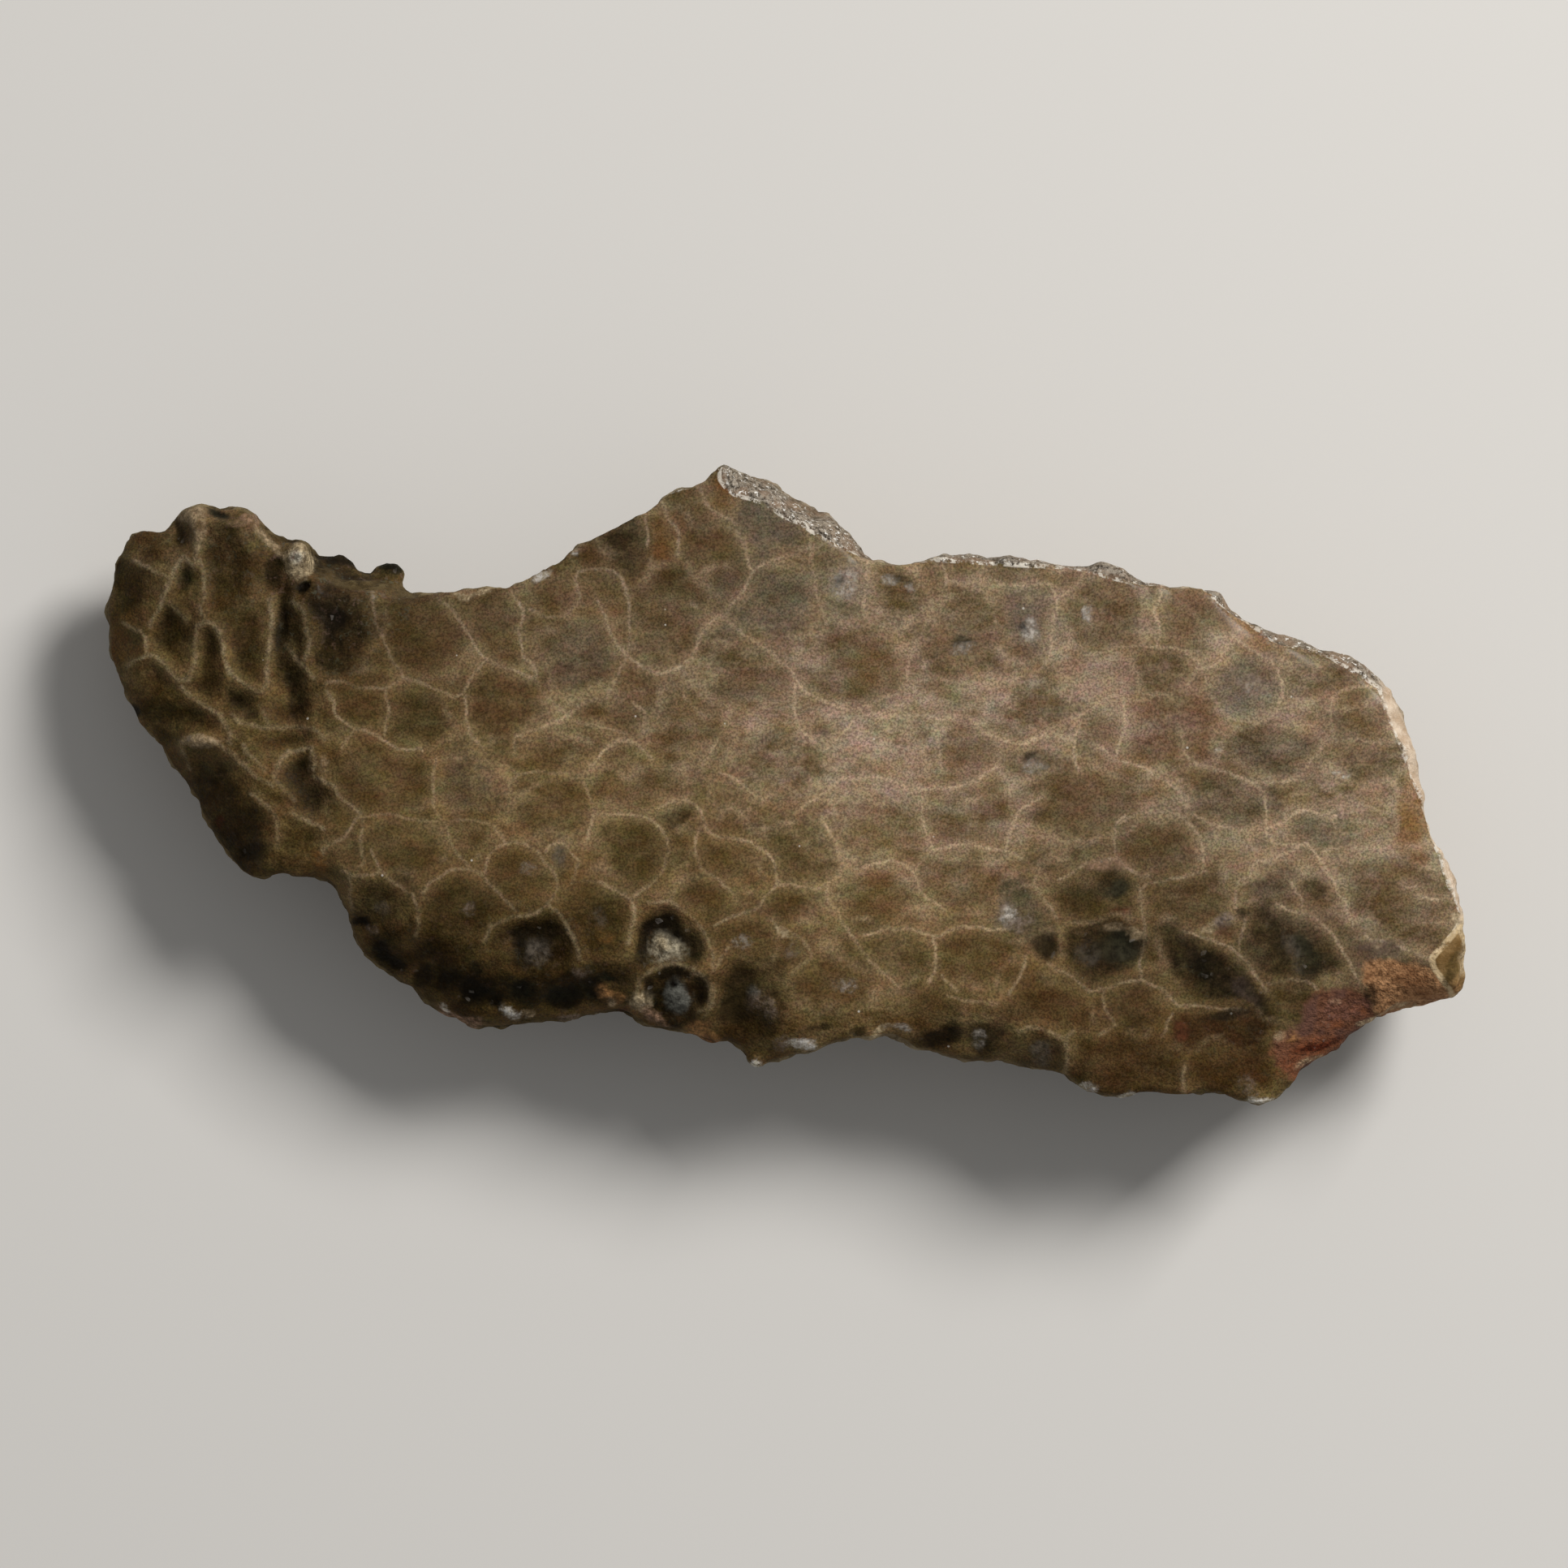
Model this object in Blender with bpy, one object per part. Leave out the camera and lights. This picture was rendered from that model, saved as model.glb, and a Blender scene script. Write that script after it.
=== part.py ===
"""A slab of Petoskey stone: fossil coral limestone, one natural piece.

It lies on its back with the polished face up, long side along X. The polished
face is nearly flat. A separate lobe rolls away at the left end behind a groove,
the lower side rolls off into unpolished stone with dished coral cups, and the
other sides are broken. The back is natural, with one small flat spot to rest on.
Metres, +Z up, with the origin under the middle of the slab.
"""

import bmesh
import bpy
import numpy as np
from mathutils import Vector, noise

NAME = "petoskey_stone"
MM = 0.001

# Heights of the slab
THICKNESS = 22 * MM
HALF_LENGTH = 78 * MM
HALF_WIDTH = 37 * MM
DOME = 1.5 * MM  # how much lower the polished face is at its ends than in the middle
WAVE = 0.12 * MM  # hand polishing leaves the face slightly uneven
WAVE_LENGTH = 24 * MM
LOBE_START = -56 * MM  # the left lobe begins here
LOBE_DROP = 5.5 * MM  # and rolls away by this much at its tip
GROOVE_DEPTH = 1.8 * MM
GROOVE_WIDTH = 2.0 * MM
SHELF_DROP = 6 * MM  # the lump behind the bay lies this far under the polished face
SHELF_SLOPE = 1.4 * MM

# The back
FLAT_CENTRE = (9 * MM, -3 * MM)
FLAT_RADII = (27 * MM, 13 * MM)
BACK_RISE = 3.0 * MM  # how far the back lifts off the ground away from the flat spot
BACK_EDGE_RISE = 4.0 * MM  # how much further it lifts at the edge
BACK_EDGE_WIDTH = 10 * MM
BACK_LUMPS = 0.9 * MM
BACK_LUMP_SIZES = (17 * MM, 8 * MM)
BACK_TUCK = 4.6 * MM  # how far the foot of the sides is tucked in under the stone
TUCK_REACH = 3.2  # the tucking dies out over this many times its own width

# The broken sides
SIDE_LEVELS = (0.15, 0.33, 0.51, 0.69, 0.87)  # shares of the height where the sides bend
WIDEST_LEVEL = 0.87  # here the slab is as wide as its outline
COLUMN_RELIEF = 1.5 * MM  # the coral's columns stand upright in the broken sides
LEDGE_RELIEF = 1.1 * MM
CHIP_RELIEF = 0.7 * MM
LEAST_BEVEL = 0.3 * MM
LEAST_BEVEL_DROP = 0.7 * MM

# How finely the faces are cut before they are shaped
POLISHED_CUT = 3.1 * MM  # half of this where the face has cups and ridges
BACK_CUT = 3.7 * MM
SLIVER = 0.4 * MM  # vertices nearer than this are joined

# The outline seen from above, in mm, clockwise from the tip of the lobe
LOBE_TOP = [
    (-78.0, 19.1), (-77.8, 22.0), (-77.3, 24.4), (-76.5, 26.4), (-75.6, 28.2), (-74.4, 29.2),
    (-73.1, 29.5), (-70.7, 29.0), (-70.3, 30.1), (-68.8, 32.0), (-67.6, 32.2), (-64.6, 31.8),
    (-61.7, 31.9), (-60.5, 31.0), (-58.7, 28.6), (-56.9, 28.1), (-55.2, 28.6), (-53.9, 27.0),
    (-52.8, 26.4), (-49.4, 25.7), (-47.7, 24.1), (-46.1, 25.6), (-44.4, 25.8), (-43.3, 24.6),
]
BAY = [
    (-43.2, 22.0), (-41.8, 21.8), (-39.0, 22.2), (-34.8, 22.6), (-32.2, 22.4), (-29.4, 23.6),
    (-27.6, 24.9), (-25.5, 25.7), (-24.8, 26.8), (-23.5, 27.5), (-19.5, 29.5), (-15.6, 31.6),
    (-12.6, 33.8), (-10.0, 34.1), (-8.3, 36.0), (-7.2, 36.9), (-6.1, 37.0),
]
TOP_RIGHT = [
    (-5.0, 36.1), (-3.3, 35.2), (-0.1, 34.0), (3.3, 31.8), (5.5, 31.3), (7.5, 29.4), (9.3, 26.6),
    (10.6, 25.9), (12.4, 25.4), (14.7, 25.6), (19.1, 26.3), (24.0, 26.0), (25.8, 26.4),
    (28.3, 25.4), (33.2, 25.2), (36.9, 25.6), (39.4, 24.4), (40.4, 23.4), (42.5, 23.6),
    (44.6, 22.4), (47.8, 23.1), (49.3, 22.7), (52.2, 19.7), (53.6, 18.6), (58.2, 17.0),
    (62.2, 15.1), (64.3, 15.1), (65.6, 14.5),
]
RIGHT_END = [
    (68.1, 11.9), (69.6, 10.7), (70.6, 8.6), (71.7, 6.3), (72.3, 3.8), (72.6, 1.0), (73.2, -1.8),
    (74.5, -5.7), (75.3, -8.0), (76.3, -9.8), (77.2, -13.3), (78.2, -17.0), (77.8, -21.7),
    (77.9, -23.4), (77.2, -24.4),
]
BOTTOM_RIGHT = [
    (75.4, -24.8), (71.2, -25.5), (68.0, -27.0), (66.4, -27.6), (63.3, -30.5), (61.0, -31.9),
    (59.4, -32.9), (58.9, -34.3), (56.7, -35.6), (55.9, -36.7), (54.3, -37.0), (52.2, -36.8),
    (49.3, -35.5), (45.7, -35.8), (40.2, -35.5), (38.8, -36.0), (34.8, -35.6), (33.2, -34.2),
    (31.4, -33.2), (26.3, -32.4), (19.8, -31.8), (14.7, -30.7), (13.8, -29.4), (12.2, -28.7),
    (10.1, -28.8), (5.2, -29.9), (3.3, -30.9), (-1.9, -31.9), (-3.1, -33.0), (-4.1, -32.6),
]
BOTTOM_LEFT = [
    (-4.7, -30.9), (-5.8, -29.8), (-8.4, -29.9), (-11.4, -28.3), (-15.6, -28.1), (-18.0, -26.5),
    (-19.5, -26.2), (-23.5, -27.0), (-28.8, -27.6), (-33.0, -28.4), (-35.3, -28.0),
    (-39.4, -26.3), (-41.8, -24.4), (-45.4, -21.9), (-48.4, -19.9), (-49.3, -18.4),
    (-50.5, -14.3), (-51.4, -12.4), (-52.6, -11.0),
]
LOBE_BOTTOM = [
    (-55.9, -11.2), (-57.5, -10.6), (-59.1, -11.3), (-61.2, -11.1), (-62.8, -10.0),
    (-65.8, -5.7), (-68.3, -0.8), (-71.1, 3.1), (-72.8, 5.6), (-74.4, 6.6), (-76.5, 11.2),
    (-77.4, 13.7), (-77.8, 16.3),
]
OUTLINE = LOBE_TOP + BAY + TOP_RIGHT + RIGHT_END + BOTTOM_RIGHT + BOTTOM_LEFT + LOBE_BOTTOM

# How the face meets its edge, in mm, at points along the outline:
# point, width and drop of the broken bevel, width and drop of the rounded roll-off
EDGE = [
    ((-78.0, 19.1), 0.4, 0.8, 5.0, 2.4),
    ((-73.1, 29.5), 0.4, 0.8, 4.0, 2.4),
    ((-66.0, 31.9), 0.4, 0.8, 3.0, 2.5),
    ((-60.5, 31.0), 0.4, 0.8, 3.0, 2.0),
    ((-55.2, 28.6), 0.4, 0.8, 2.0, 1.5),
    ((-43.3, 24.6), 0.5, 1.5, 1.0, 0.5),
    ((-34.8, 22.6), 0.4, 1.0, 1.0, 0.2),
    ((-15.6, 31.6), 0.3, 0.8, 1.0, 0.2),
    ((-6.1, 37.0), 0.8, 1.2, 2.0, 0.5),
    ((-3.3, 35.2), 2.0, 4.0, 1.0, 0.2),
    ((1.8, 32.7), 2.6, 5.0, 1.0, 0.2),
    ((5.5, 31.3), 2.8, 5.0, 1.0, 0.2),
    ((9.3, 26.6), 1.6, 3.5, 1.0, 0.2),
    ((12.4, 25.4), 0.6, 1.5, 1.0, 0.2),
    ((36.9, 25.6), 0.8, 1.6, 1.0, 0.2),
    ((44.6, 22.4), 0.5, 1.2, 1.0, 0.2),
    ((49.3, 22.7), 1.2, 2.2, 1.0, 0.2),
    ((58.2, 17.0), 1.6, 3.0, 1.0, 0.2),
    ((65.6, 14.5), 1.6, 3.0, 1.0, 0.2),
    ((71.7, 6.3), 1.9, 2.4, 1.0, 0.2),
    ((73.2, -1.8), 1.2, 1.6, 1.0, 0.2),
    ((75.3, -8.0), 0.6, 1.0, 1.0, 0.2),
    ((78.2, -17.0), 1.0, 1.4, 1.0, 0.3),
    ((77.9, -23.4), 1.4, 2.2, 3.0, 1.0),
    ((71.2, -25.5), 0.6, 1.2, 6.0, 3.5),
    ((63.3, -30.5), 0.6, 1.2, 8.0, 4.0),
    ((58.9, -34.3), 0.5, 1.0, 5.0, 2.5),
    ((54.3, -37.0), 0.6, 1.2, 3.0, 2.0),
    ((45.7, -35.8), 0.4, 1.0, 2.0, 0.8),
    ((34.8, -35.6), 0.4, 1.0, 2.5, 1.2),
    ((23.0, -32.1), 0.5, 1.2, 6.0, 4.5),
    ((14.7, -30.7), 0.5, 1.2, 5.0, 4.0),
    ((10.1, -28.8), 0.4, 1.0, 2.0, 0.8),
    ((3.3, -30.9), 0.4, 1.0, 4.0, 2.0),
    ((-3.1, -33.0), 0.6, 1.2, 9.0, 5.0),
    ((-8.4, -29.9), 0.5, 1.2, 6.0, 3.5),
    ((-18.0, -26.5), 0.5, 1.2, 6.5, 4.5),
    ((-33.0, -28.4), 0.5, 1.2, 9.0, 6.0),
    ((-45.4, -21.9), 0.5, 1.2, 9.0, 6.0),
    ((-51.4, -12.4), 0.5, 1.2, 6.0, 4.0),
    ((-54.4, -10.8), 0.4, 1.0, 3.0, 2.5),
    ((-62.8, -10.0), 0.4, 1.0, 5.0, 4.0),
    ((-72.8, 5.6), 0.4, 0.8, 5.0, 3.5),
]

# The groove between the lobe and the polished face, in mm
GROOVE = [
    (-57.6, 28.4), (-58.2, 22.0), (-57.2, 15.0), (-56.6, 9.0), (-55.8, 3.0), (-53.4, -2.0),
    (-54.2, -10.8),
]
# The polished edge above the lump in the bay, in mm
SHELF = [(-54.6, 25.4), (-52.4, 23.6), (-48.7, 22.7), (-45.0, 21.9), (-41.0, 21.4)]

# Coral cups that are hollow, in mm: middle, half width, half height, lean in degrees, depth
# A cup's last value is the height of the boss that stands in its middle
CUPS = [
    ((-73.5, 26.7), 2.0, 2.6, 0, 0.7, 0.0),
    ((-75.7, 21.9), 1.8, 3.0, 0, 0.7, 0.0),
    ((-68.9, 28.8), 1.4, 2.6, 0, 0.9, 0.0),
    ((-64.0, 24.6), 3.0, 5.0, 0, 1.1, 0.0),
    ((-68.5, 23.5), 1.3, 1.9, 0, 1.2, 0.0),
    ((-70.5, 17.2), 2.6, 3.9, 0, 1.1, 0.0),
    ((-75.4, 16.3), 1.8, 3.0, 0, 0.8, 0.0),
    ((-65.8, 14.4), 1.7, 3.9, 0, 0.9, 0.0),
    ((-61.5, 16.3), 2.4, 5.0, 0, 1.1, 0.0),
    ((-71.4, 11.9), 2.0, 1.8, 0, 0.7, 0.0),
    ((-66.3, 10.4), 2.0, 1.5, 0, 0.7, 0.0),
    ((-69.5, 7.8), 4.6, 1.7, -10, 1.0, 0.0),
    ((-61.3, 8.9), 3.2, 1.5, -35, 1.1, 0.0),
    ((-65.8, 0.1), 4.4, 3.9, -30, 1.3, 0.0),
    ((-62.4, -6.2), 3.6, 4.4, 10, 1.5, 0.0),
    ((-57.5, -7.0), 1.6, 3.6, 15, 0.7, 0.0),
    ((-52.0, 17.0), 3.6, 5.4, 10, 0.6, 0.0),
    ((-54.7, 24.0), 1.4, 1.4, 0, 2.2, 0.0),
    ((-45.5, -14.3), 3.9, 3.0, -30, 0.8, 0.3),
    ((-41.0, -20.5), 3.6, 2.6, -35, 1.0, 0.4),
    ((-34.0, -23.4), 3.8, 2.8, -10, 1.1, 0.5),
    ((-27.9, -18.4), 4.4, 3.2, 0, 1.0, 0.9),
    ((-24.5, -24.2), 3.8, 2.4, 0, 1.0, 0.4),
    ((-13.3, -18.0), 4.4, 4.0, 0, 1.2, 1.3),
    ((-12.4, -24.0), 4.2, 2.8, 0, 1.3, 1.1),
    ((-3.8, -24.6), 4.0, 4.8, 0, 1.1, 0.6),
    ((3.8, -26.6), 3.0, 2.6, 0, 0.8, 0.2),
    ((16.8, -27.6), 3.6, 2.2, -10, 0.9, 0.2),
    ((22.1, -29.2), 3.0, 2.2, 0, 1.0, 0.4),
    ((29.5, -30.5), 3.0, 2.2, 0, 0.8, 0.4),
    ((27.7, -14.7), 3.2, 2.8, 0, 0.8, 0.6),
    ((36.9, -18.9), 4.2, 3.4, 0, 0.7, 0.3),
    ((48.5, -21.2), 6.6, 3.0, -35, 0.9, 0.2),
    ((58.2, -18.4), 5.4, 4.2, -30, 0.6, 0.2),
    ((50.0, -27.7), 5.2, 2.2, -8, 0.7, 0.3),
]

# Lumps and ridges that stand up, in mm: middle, half width, half height, lean in degrees, height
LUMPS = [
    ((-55.4, 26.4), 1.6, 2.2, 0, 1.4),
    ((-63.0, 29.9), 3.4, 1.0, 0, 0.8),
    ((-67.1, 4.7), 2.4, 0.9, -8, 0.8),
    ((-17.2, -25.4), 1.6, 1.8, 0, 1.2),
    ((-12.6, -28.0), 2.0, 1.2, 0, 0.8),
    ((-3.4, -31.8), 1.4, 1.4, 0, 1.0),
    ((54.8, -36.2), 2.0, 1.0, 0, 1.0),
    ((76.2, -21.2), 1.6, 2.6, 0, 0.9),
]

# Boxes round the cups and ridges, in mm: lowest and highest x, lowest and highest y
FINE_AREAS = [
    (-79, -42, -12, 38),
    (-52, 9, -34, -11),
    (12, 33, -34, -26),
    (23, 42, -24, -11),
    (42, 66, -31, -14),
]

# Hollows of coral cups on the back: spacing, depth, and how far each strays from its place
BACK_CUP_STEP = 9.5 * MM
BACK_CUP_DEPTH = 0.8 * MM
BACK_CUP_STRAY = 2.0 * MM

STONE_COLOUR = (0.27, 0.20, 0.13, 1)
STONE_ROUGHNESS = 0.35


def clear_scene():
    for leftover in list(bpy.data.objects):
        bpy.data.objects.remove(leftover, do_unlink=True)


def smooth(value):
    """0 below 0, 1 above 1, and an S-shaped rise between."""
    value = np.clip(value, 0, 1)
    return value * value * (3 - 2 * value)


def bumps(points, size, seed):
    """Soft noise from about -1 to 1 whose lumps are about this size."""
    shift = Vector((seed * 17.3, seed * 5.1, seed * 9.7))
    return np.array([noise.noise(Vector(point) / size + shift) for point in points]) * 2


def pieces_of(line, closed=False):
    """The start, direction and length of each straight piece of a line given in mm."""
    start = np.array(line) * MM
    end = np.roll(start, -1, axis=0)
    if not closed:
        start, end = start[:-1], end[:-1]
    length = np.linalg.norm(end - start, axis=1)
    return start, (end - start) / length[:, None], length


def distances(points, line, closed=False):
    """How far each point is from each piece of the line, and how far along the piece."""
    start, along, length = pieces_of(line, closed)
    offset = points[:, None, :] - start[None, :, :]
    share = np.clip((offset * along).sum(axis=2), 0, length)
    away = np.linalg.norm(offset - share[..., None] * along, axis=2)
    return away, share


def outline_facts(points):
    """For each point: distance to the outline, distance run along it, direction inward."""
    start, along, length = pieces_of(OUTLINE, closed=True)
    away, share = distances(points, OUTLINE, closed=True)
    nearest = away.argmin(axis=1)
    row = np.arange(len(points))
    run = (np.cumsum(length) - length)[nearest] + share[row, nearest]
    inward = np.column_stack((along[:, 1], -along[:, 0]))
    weight = np.exp(-((away / (1.6 * MM)) ** 2)) * length + 1e-12 / (away + MM)
    direction = weight @ inward
    direction /= np.linalg.norm(direction, axis=1)[:, None]
    return away[row, nearest], run, direction


def edge_values(run):
    """The bevel and the roll-off at this distance along the outline, in metres."""
    places = np.array([place for place, *_ in EDGE]) * MM
    values = np.array([numbers for _, *numbers in EDGE]) * MM
    _, stops, _ = outline_facts(places)
    _, _, length = pieces_of(OUTLINE, closed=True)
    order = np.argsort(stops)
    return [np.interp(run, stops[order], values[order, i], period=length.sum()) for i in range(4)]


def hollow(points, middle, half_width, half_height, lean):
    """1 in the middle of an oval, 0 at its rim and outside; and the share of the way out."""
    offset = points - np.array(middle) * MM
    angle = np.radians(lean)
    across = offset[:, 0] * np.cos(angle) + offset[:, 1] * np.sin(angle)
    up = offset[:, 1] * np.cos(angle) - offset[:, 0] * np.sin(angle)
    out = np.hypot(across / (half_width * MM), up / (half_height * MM))
    return smooth(1.12 * (1 - out**2)), out


def face_height(points):
    """Height of the upper face above the ground."""
    x, y = points[:, 0], points[:, 1]
    away, run, _ = outline_facts(points)
    _, _, roll, roll_drop = edge_values(run)
    height = np.full(len(points), THICKNESS)
    height -= DOME * ((x / HALF_LENGTH) ** 2 + 0.5 * (y / HALF_WIDTH) ** 2)
    flat = np.column_stack((points, np.zeros(len(points))))
    height += WAVE * bumps(flat, WAVE_LENGTH, 1)
    height -= roll_drop * np.clip(1 - away / roll, 0, 1) ** 2

    in_lobe = np.clip((LOBE_START - x) / (LOBE_START + HALF_LENGTH), 0, 1)
    height -= LOBE_DROP * in_lobe**1.4
    groove = distances(points, GROOVE)[0].min(axis=1)
    height -= GROOVE_DEPTH * np.exp(-((groove / GROOVE_WIDTH) ** 2))

    shelf = np.array(SHELF) * MM
    above = y - np.interp(x, shelf[:, 0], shelf[:, 1])
    beside = np.minimum(x - shelf[0, 0], shelf[-1, 0] - x)
    on_shelf = smooth(above / SHELF_SLOPE + 0.5) * smooth(beside / SHELF_SLOPE)
    height -= SHELF_DROP * on_shelf

    for middle, half_width, half_height, lean, depth, boss in CUPS:
        inside, out = hollow(points, middle, half_width, half_height, lean)
        height -= depth * MM * inside
        height += boss * MM * smooth(1 - out / 0.55)
    for middle, half_width, half_height, lean, rise in LUMPS:
        height += rise * MM * hollow(points, middle, half_width, half_height, lean)[0]
    return height


def back_height(points):
    """Height of the back above the ground, 0 over the flat spot."""
    x, y = points[:, 0], points[:, 1]
    away, _, _ = outline_facts(points)
    out = np.hypot((x - FLAT_CENTRE[0]) / FLAT_RADII[0], (y - FLAT_CENTRE[1]) / FLAT_RADII[1])
    lift = smooth((out - 1) / 1.3)
    flat = np.column_stack((points, np.zeros(len(points))))
    large, small = BACK_LUMP_SIZES
    lumps = BACK_LUMPS * (bumps(flat, large, 2) + 0.5 * bumps(flat, small, 3))
    column, row = np.round(x / BACK_CUP_STEP), np.round(y / BACK_CUP_STEP)
    turn = np.column_stack((column * 2.7 + row * 4.1, column * 5.3 - row * 1.9))
    middle = np.column_stack((column, row)) * BACK_CUP_STEP + BACK_CUP_STRAY * np.sin(turn)
    cup = smooth(1 - np.linalg.norm(points - middle, axis=1) / (0.45 * BACK_CUP_STEP))
    edge = BACK_EDGE_RISE * np.clip(1 - away / BACK_EDGE_WIDTH, 0, 1) ** 2
    rise = BACK_RISE * lift + (lumps + BACK_CUP_DEPTH * cup) * smooth((out - 1) / 0.4) + edge
    return np.where(out < 1, 0, np.maximum(rise, 0.25 * MM * smooth((out - 1) / 0.2)))


def slab():
    """The outline as a flat curve, extruded to the slab's thickness, as a welded mesh."""
    curve = bpy.data.curves.new("outline", "CURVE")
    curve.dimensions = "2D"
    curve.fill_mode = "BOTH"
    curve.extrude = THICKNESS / 2
    spline = curve.splines.new("POLY")
    spline.points.add(len(OUTLINE) - 1)
    for point, (x, y) in zip(spline.points, OUTLINE):
        point.co = (x * MM, y * MM, 0, 1)
    spline.use_cyclic_u = True
    drawn = bpy.data.objects.new("outline", curve)
    bpy.context.scene.collection.objects.link(drawn)
    drawn.location.z = THICKNESS / 2
    bpy.context.view_layer.update()

    evaluated = drawn.evaluated_get(bpy.context.evaluated_depsgraph_get())
    mesh = bpy.data.meshes.new_from_object(evaluated)
    mesh.transform(drawn.matrix_world)
    mesh.name = NAME
    bpy.data.objects.remove(drawn)
    bpy.data.curves.remove(curve)
    return mesh


def cut_across(bm, faces, axis, step, low, high):
    """Cuts these faces along planes a step apart across this axis, and returns their pieces."""
    normal = Vector((axis == 0, axis == 1, axis == 2))
    for place in np.arange(low, high, step):
        edges = {edge for face in faces for edge in face.edges}
        verts = {vert for face in faces for vert in face.verts}
        cut = bmesh.ops.bisect_plane(
            bm,
            geom=[*faces, *edges, *verts],
            dist=1e-7,
            plane_co=normal * place,
            plane_no=normal,
        )
        faces = {item for item in cut["geom"] if isinstance(item, bmesh.types.BMFace)}
    return faces


def cut_faces(bm):
    """Gives the slab's flat faces the vertices that the shaping moves."""
    outline = np.array(OUTLINE) * MM
    low, high = outline.min(axis=0), outline.max(axis=0)
    for share in SIDE_LEVELS:
        cut_across(bm, set(bm.faces), 2, 1, share * THICKNESS, share * THICKNESS + MM)

    def facing(direction):
        return {face for face in bm.faces if face.normal.z * direction > 0.9}

    sides = {face for face in bm.faces if abs(face.normal.z) < 0.5}
    for axis in (0, 1):
        cut_across(bm, facing(1) | sides, axis, POLISHED_CUT, low[axis] + POLISHED_CUT / 2, high[axis])
        sides = {face for face in bm.faces if abs(face.normal.z) < 0.5}
        cut_across(bm, facing(-1), axis, BACK_CUT, low[axis] + BACK_CUT / 2, high[axis])
    for x_low, x_high, y_low, y_high in FINE_AREAS:
        for axis in (0, 1):
            chosen = set()
            for face in facing(1):
                middle = face.calc_center_median() / MM
                if x_low < middle.x < x_high and y_low < middle.y < y_high:
                    chosen.add(face)
            cut_across(bm, chosen, axis, POLISHED_CUT, low[axis] + POLISHED_CUT, high[axis])
    bmesh.ops.remove_doubles(bm, verts=bm.verts, dist=SLIVER)
    bmesh.ops.dissolve_degenerate(bm, edges=bm.edges, dist=1e-6)
    bmesh.ops.triangulate(bm, faces=bm.faces, quad_method="SHORT_EDGE", ngon_method="BEAUTY")


def shape(mesh):
    """Moves each vertex of the cut slab to its place on the stone."""
    flat = np.empty(len(mesh.vertices) * 3)
    mesh.vertices.foreach_get("co", flat)
    place = flat.reshape(-1, 3)
    points = place[:, :2].copy()
    level = place[:, 2] / THICKNESS
    away, run, inward = outline_facts(points)
    bevel, bevel_drop, _, _ = edge_values(run)
    bevel = np.maximum(bevel, LEAST_BEVEL)
    bevel_drop = np.maximum(bevel_drop, LEAST_BEVEL_DROP)

    upper = level > 0.99
    moved = points + inward * (bevel * np.clip(1 - away / (TUCK_REACH * bevel), 0, 1))[:, None]
    upper_height = face_height(moved)
    foot = points + inward * (BACK_TUCK * np.clip(1 - away / (TUCK_REACH * BACK_TUCK), 0, 1))[:, None]
    foot_height = back_height(foot)

    side_top = face_height(points) - bevel_drop
    share = np.clip(level / WIDEST_LEVEL, 0, 1)
    rough = COLUMN_RELIEF * (0.5 + bumps(place * (1, 1, 0.25), 5.5 * MM, 4))
    rough += LEDGE_RELIEF * (0.4 + bumps(place * (0.35, 0.35, 1), 5 * MM, 5))
    rough += CHIP_RELIEF * bumps(place, 3 * MM, 6)
    inset = BACK_TUCK * (1 - share) ** 2 + np.clip(rough, 0, None) * 4 * share * (1 - share)
    side = points + inward * inset[:, None]
    side_height = foot_height + (side_top - foot_height) * share

    lower = level < 0.01
    place[:, :2] = np.where(upper[:, None], moved, np.where(lower[:, None], foot, side))
    place[:, 2] = np.where(upper, upper_height, np.where(lower, foot_height, side_height))
    middle = (place.min(axis=0) + place.max(axis=0)) / 2
    place -= (middle[0], middle[1], place[:, 2].min())
    mesh.vertices.foreach_set("co", place.ravel())


def stone_material():
    """Polished warm grey-brown limestone."""
    material = bpy.data.materials.new("polished limestone")
    material.use_nodes = True
    surface = material.node_tree.nodes["Principled BSDF"]
    surface.inputs["Base Color"].default_value = STONE_COLOUR
    surface.inputs["Roughness"].default_value = STONE_ROUGHNESS
    surface.inputs["Metallic"].default_value = 0
    return material


def build_stone():
    mesh = slab()
    bm = bmesh.new()
    bm.from_mesh(mesh)
    bmesh.ops.remove_doubles(bm, verts=bm.verts, dist=1e-6)
    bmesh.ops.recalc_face_normals(bm, faces=bm.faces)
    bmesh.ops.dissolve_limit(bm, angle_limit=0.001, verts=bm.verts, edges=bm.edges)
    cut_faces(bm)
    bm.to_mesh(mesh)
    bm.free()
    shape(mesh)
    mesh.materials.clear()
    mesh.materials.append(stone_material())
    mesh.shade_smooth()
    mesh.set_sharp_from_angle(angle=np.radians(35))
    return bpy.data.objects.new(NAME, mesh)


clear_scene()
collection = bpy.data.collections.new("petoskey stone")
bpy.context.scene.collection.children.link(collection)
collection.objects.link(build_stone())
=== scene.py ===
"""A polished slab of petoskey stone on a pale studio floor, seen from straight above.

Everything is in metres in the frame of the CAD model, with +Z up. Places on the polished face
were read from the photograph, in its pixels, and are changed to millimetres here.
"""

import math

import bmesh
import bpy
import numpy as np
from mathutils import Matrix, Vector, noise


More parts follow.
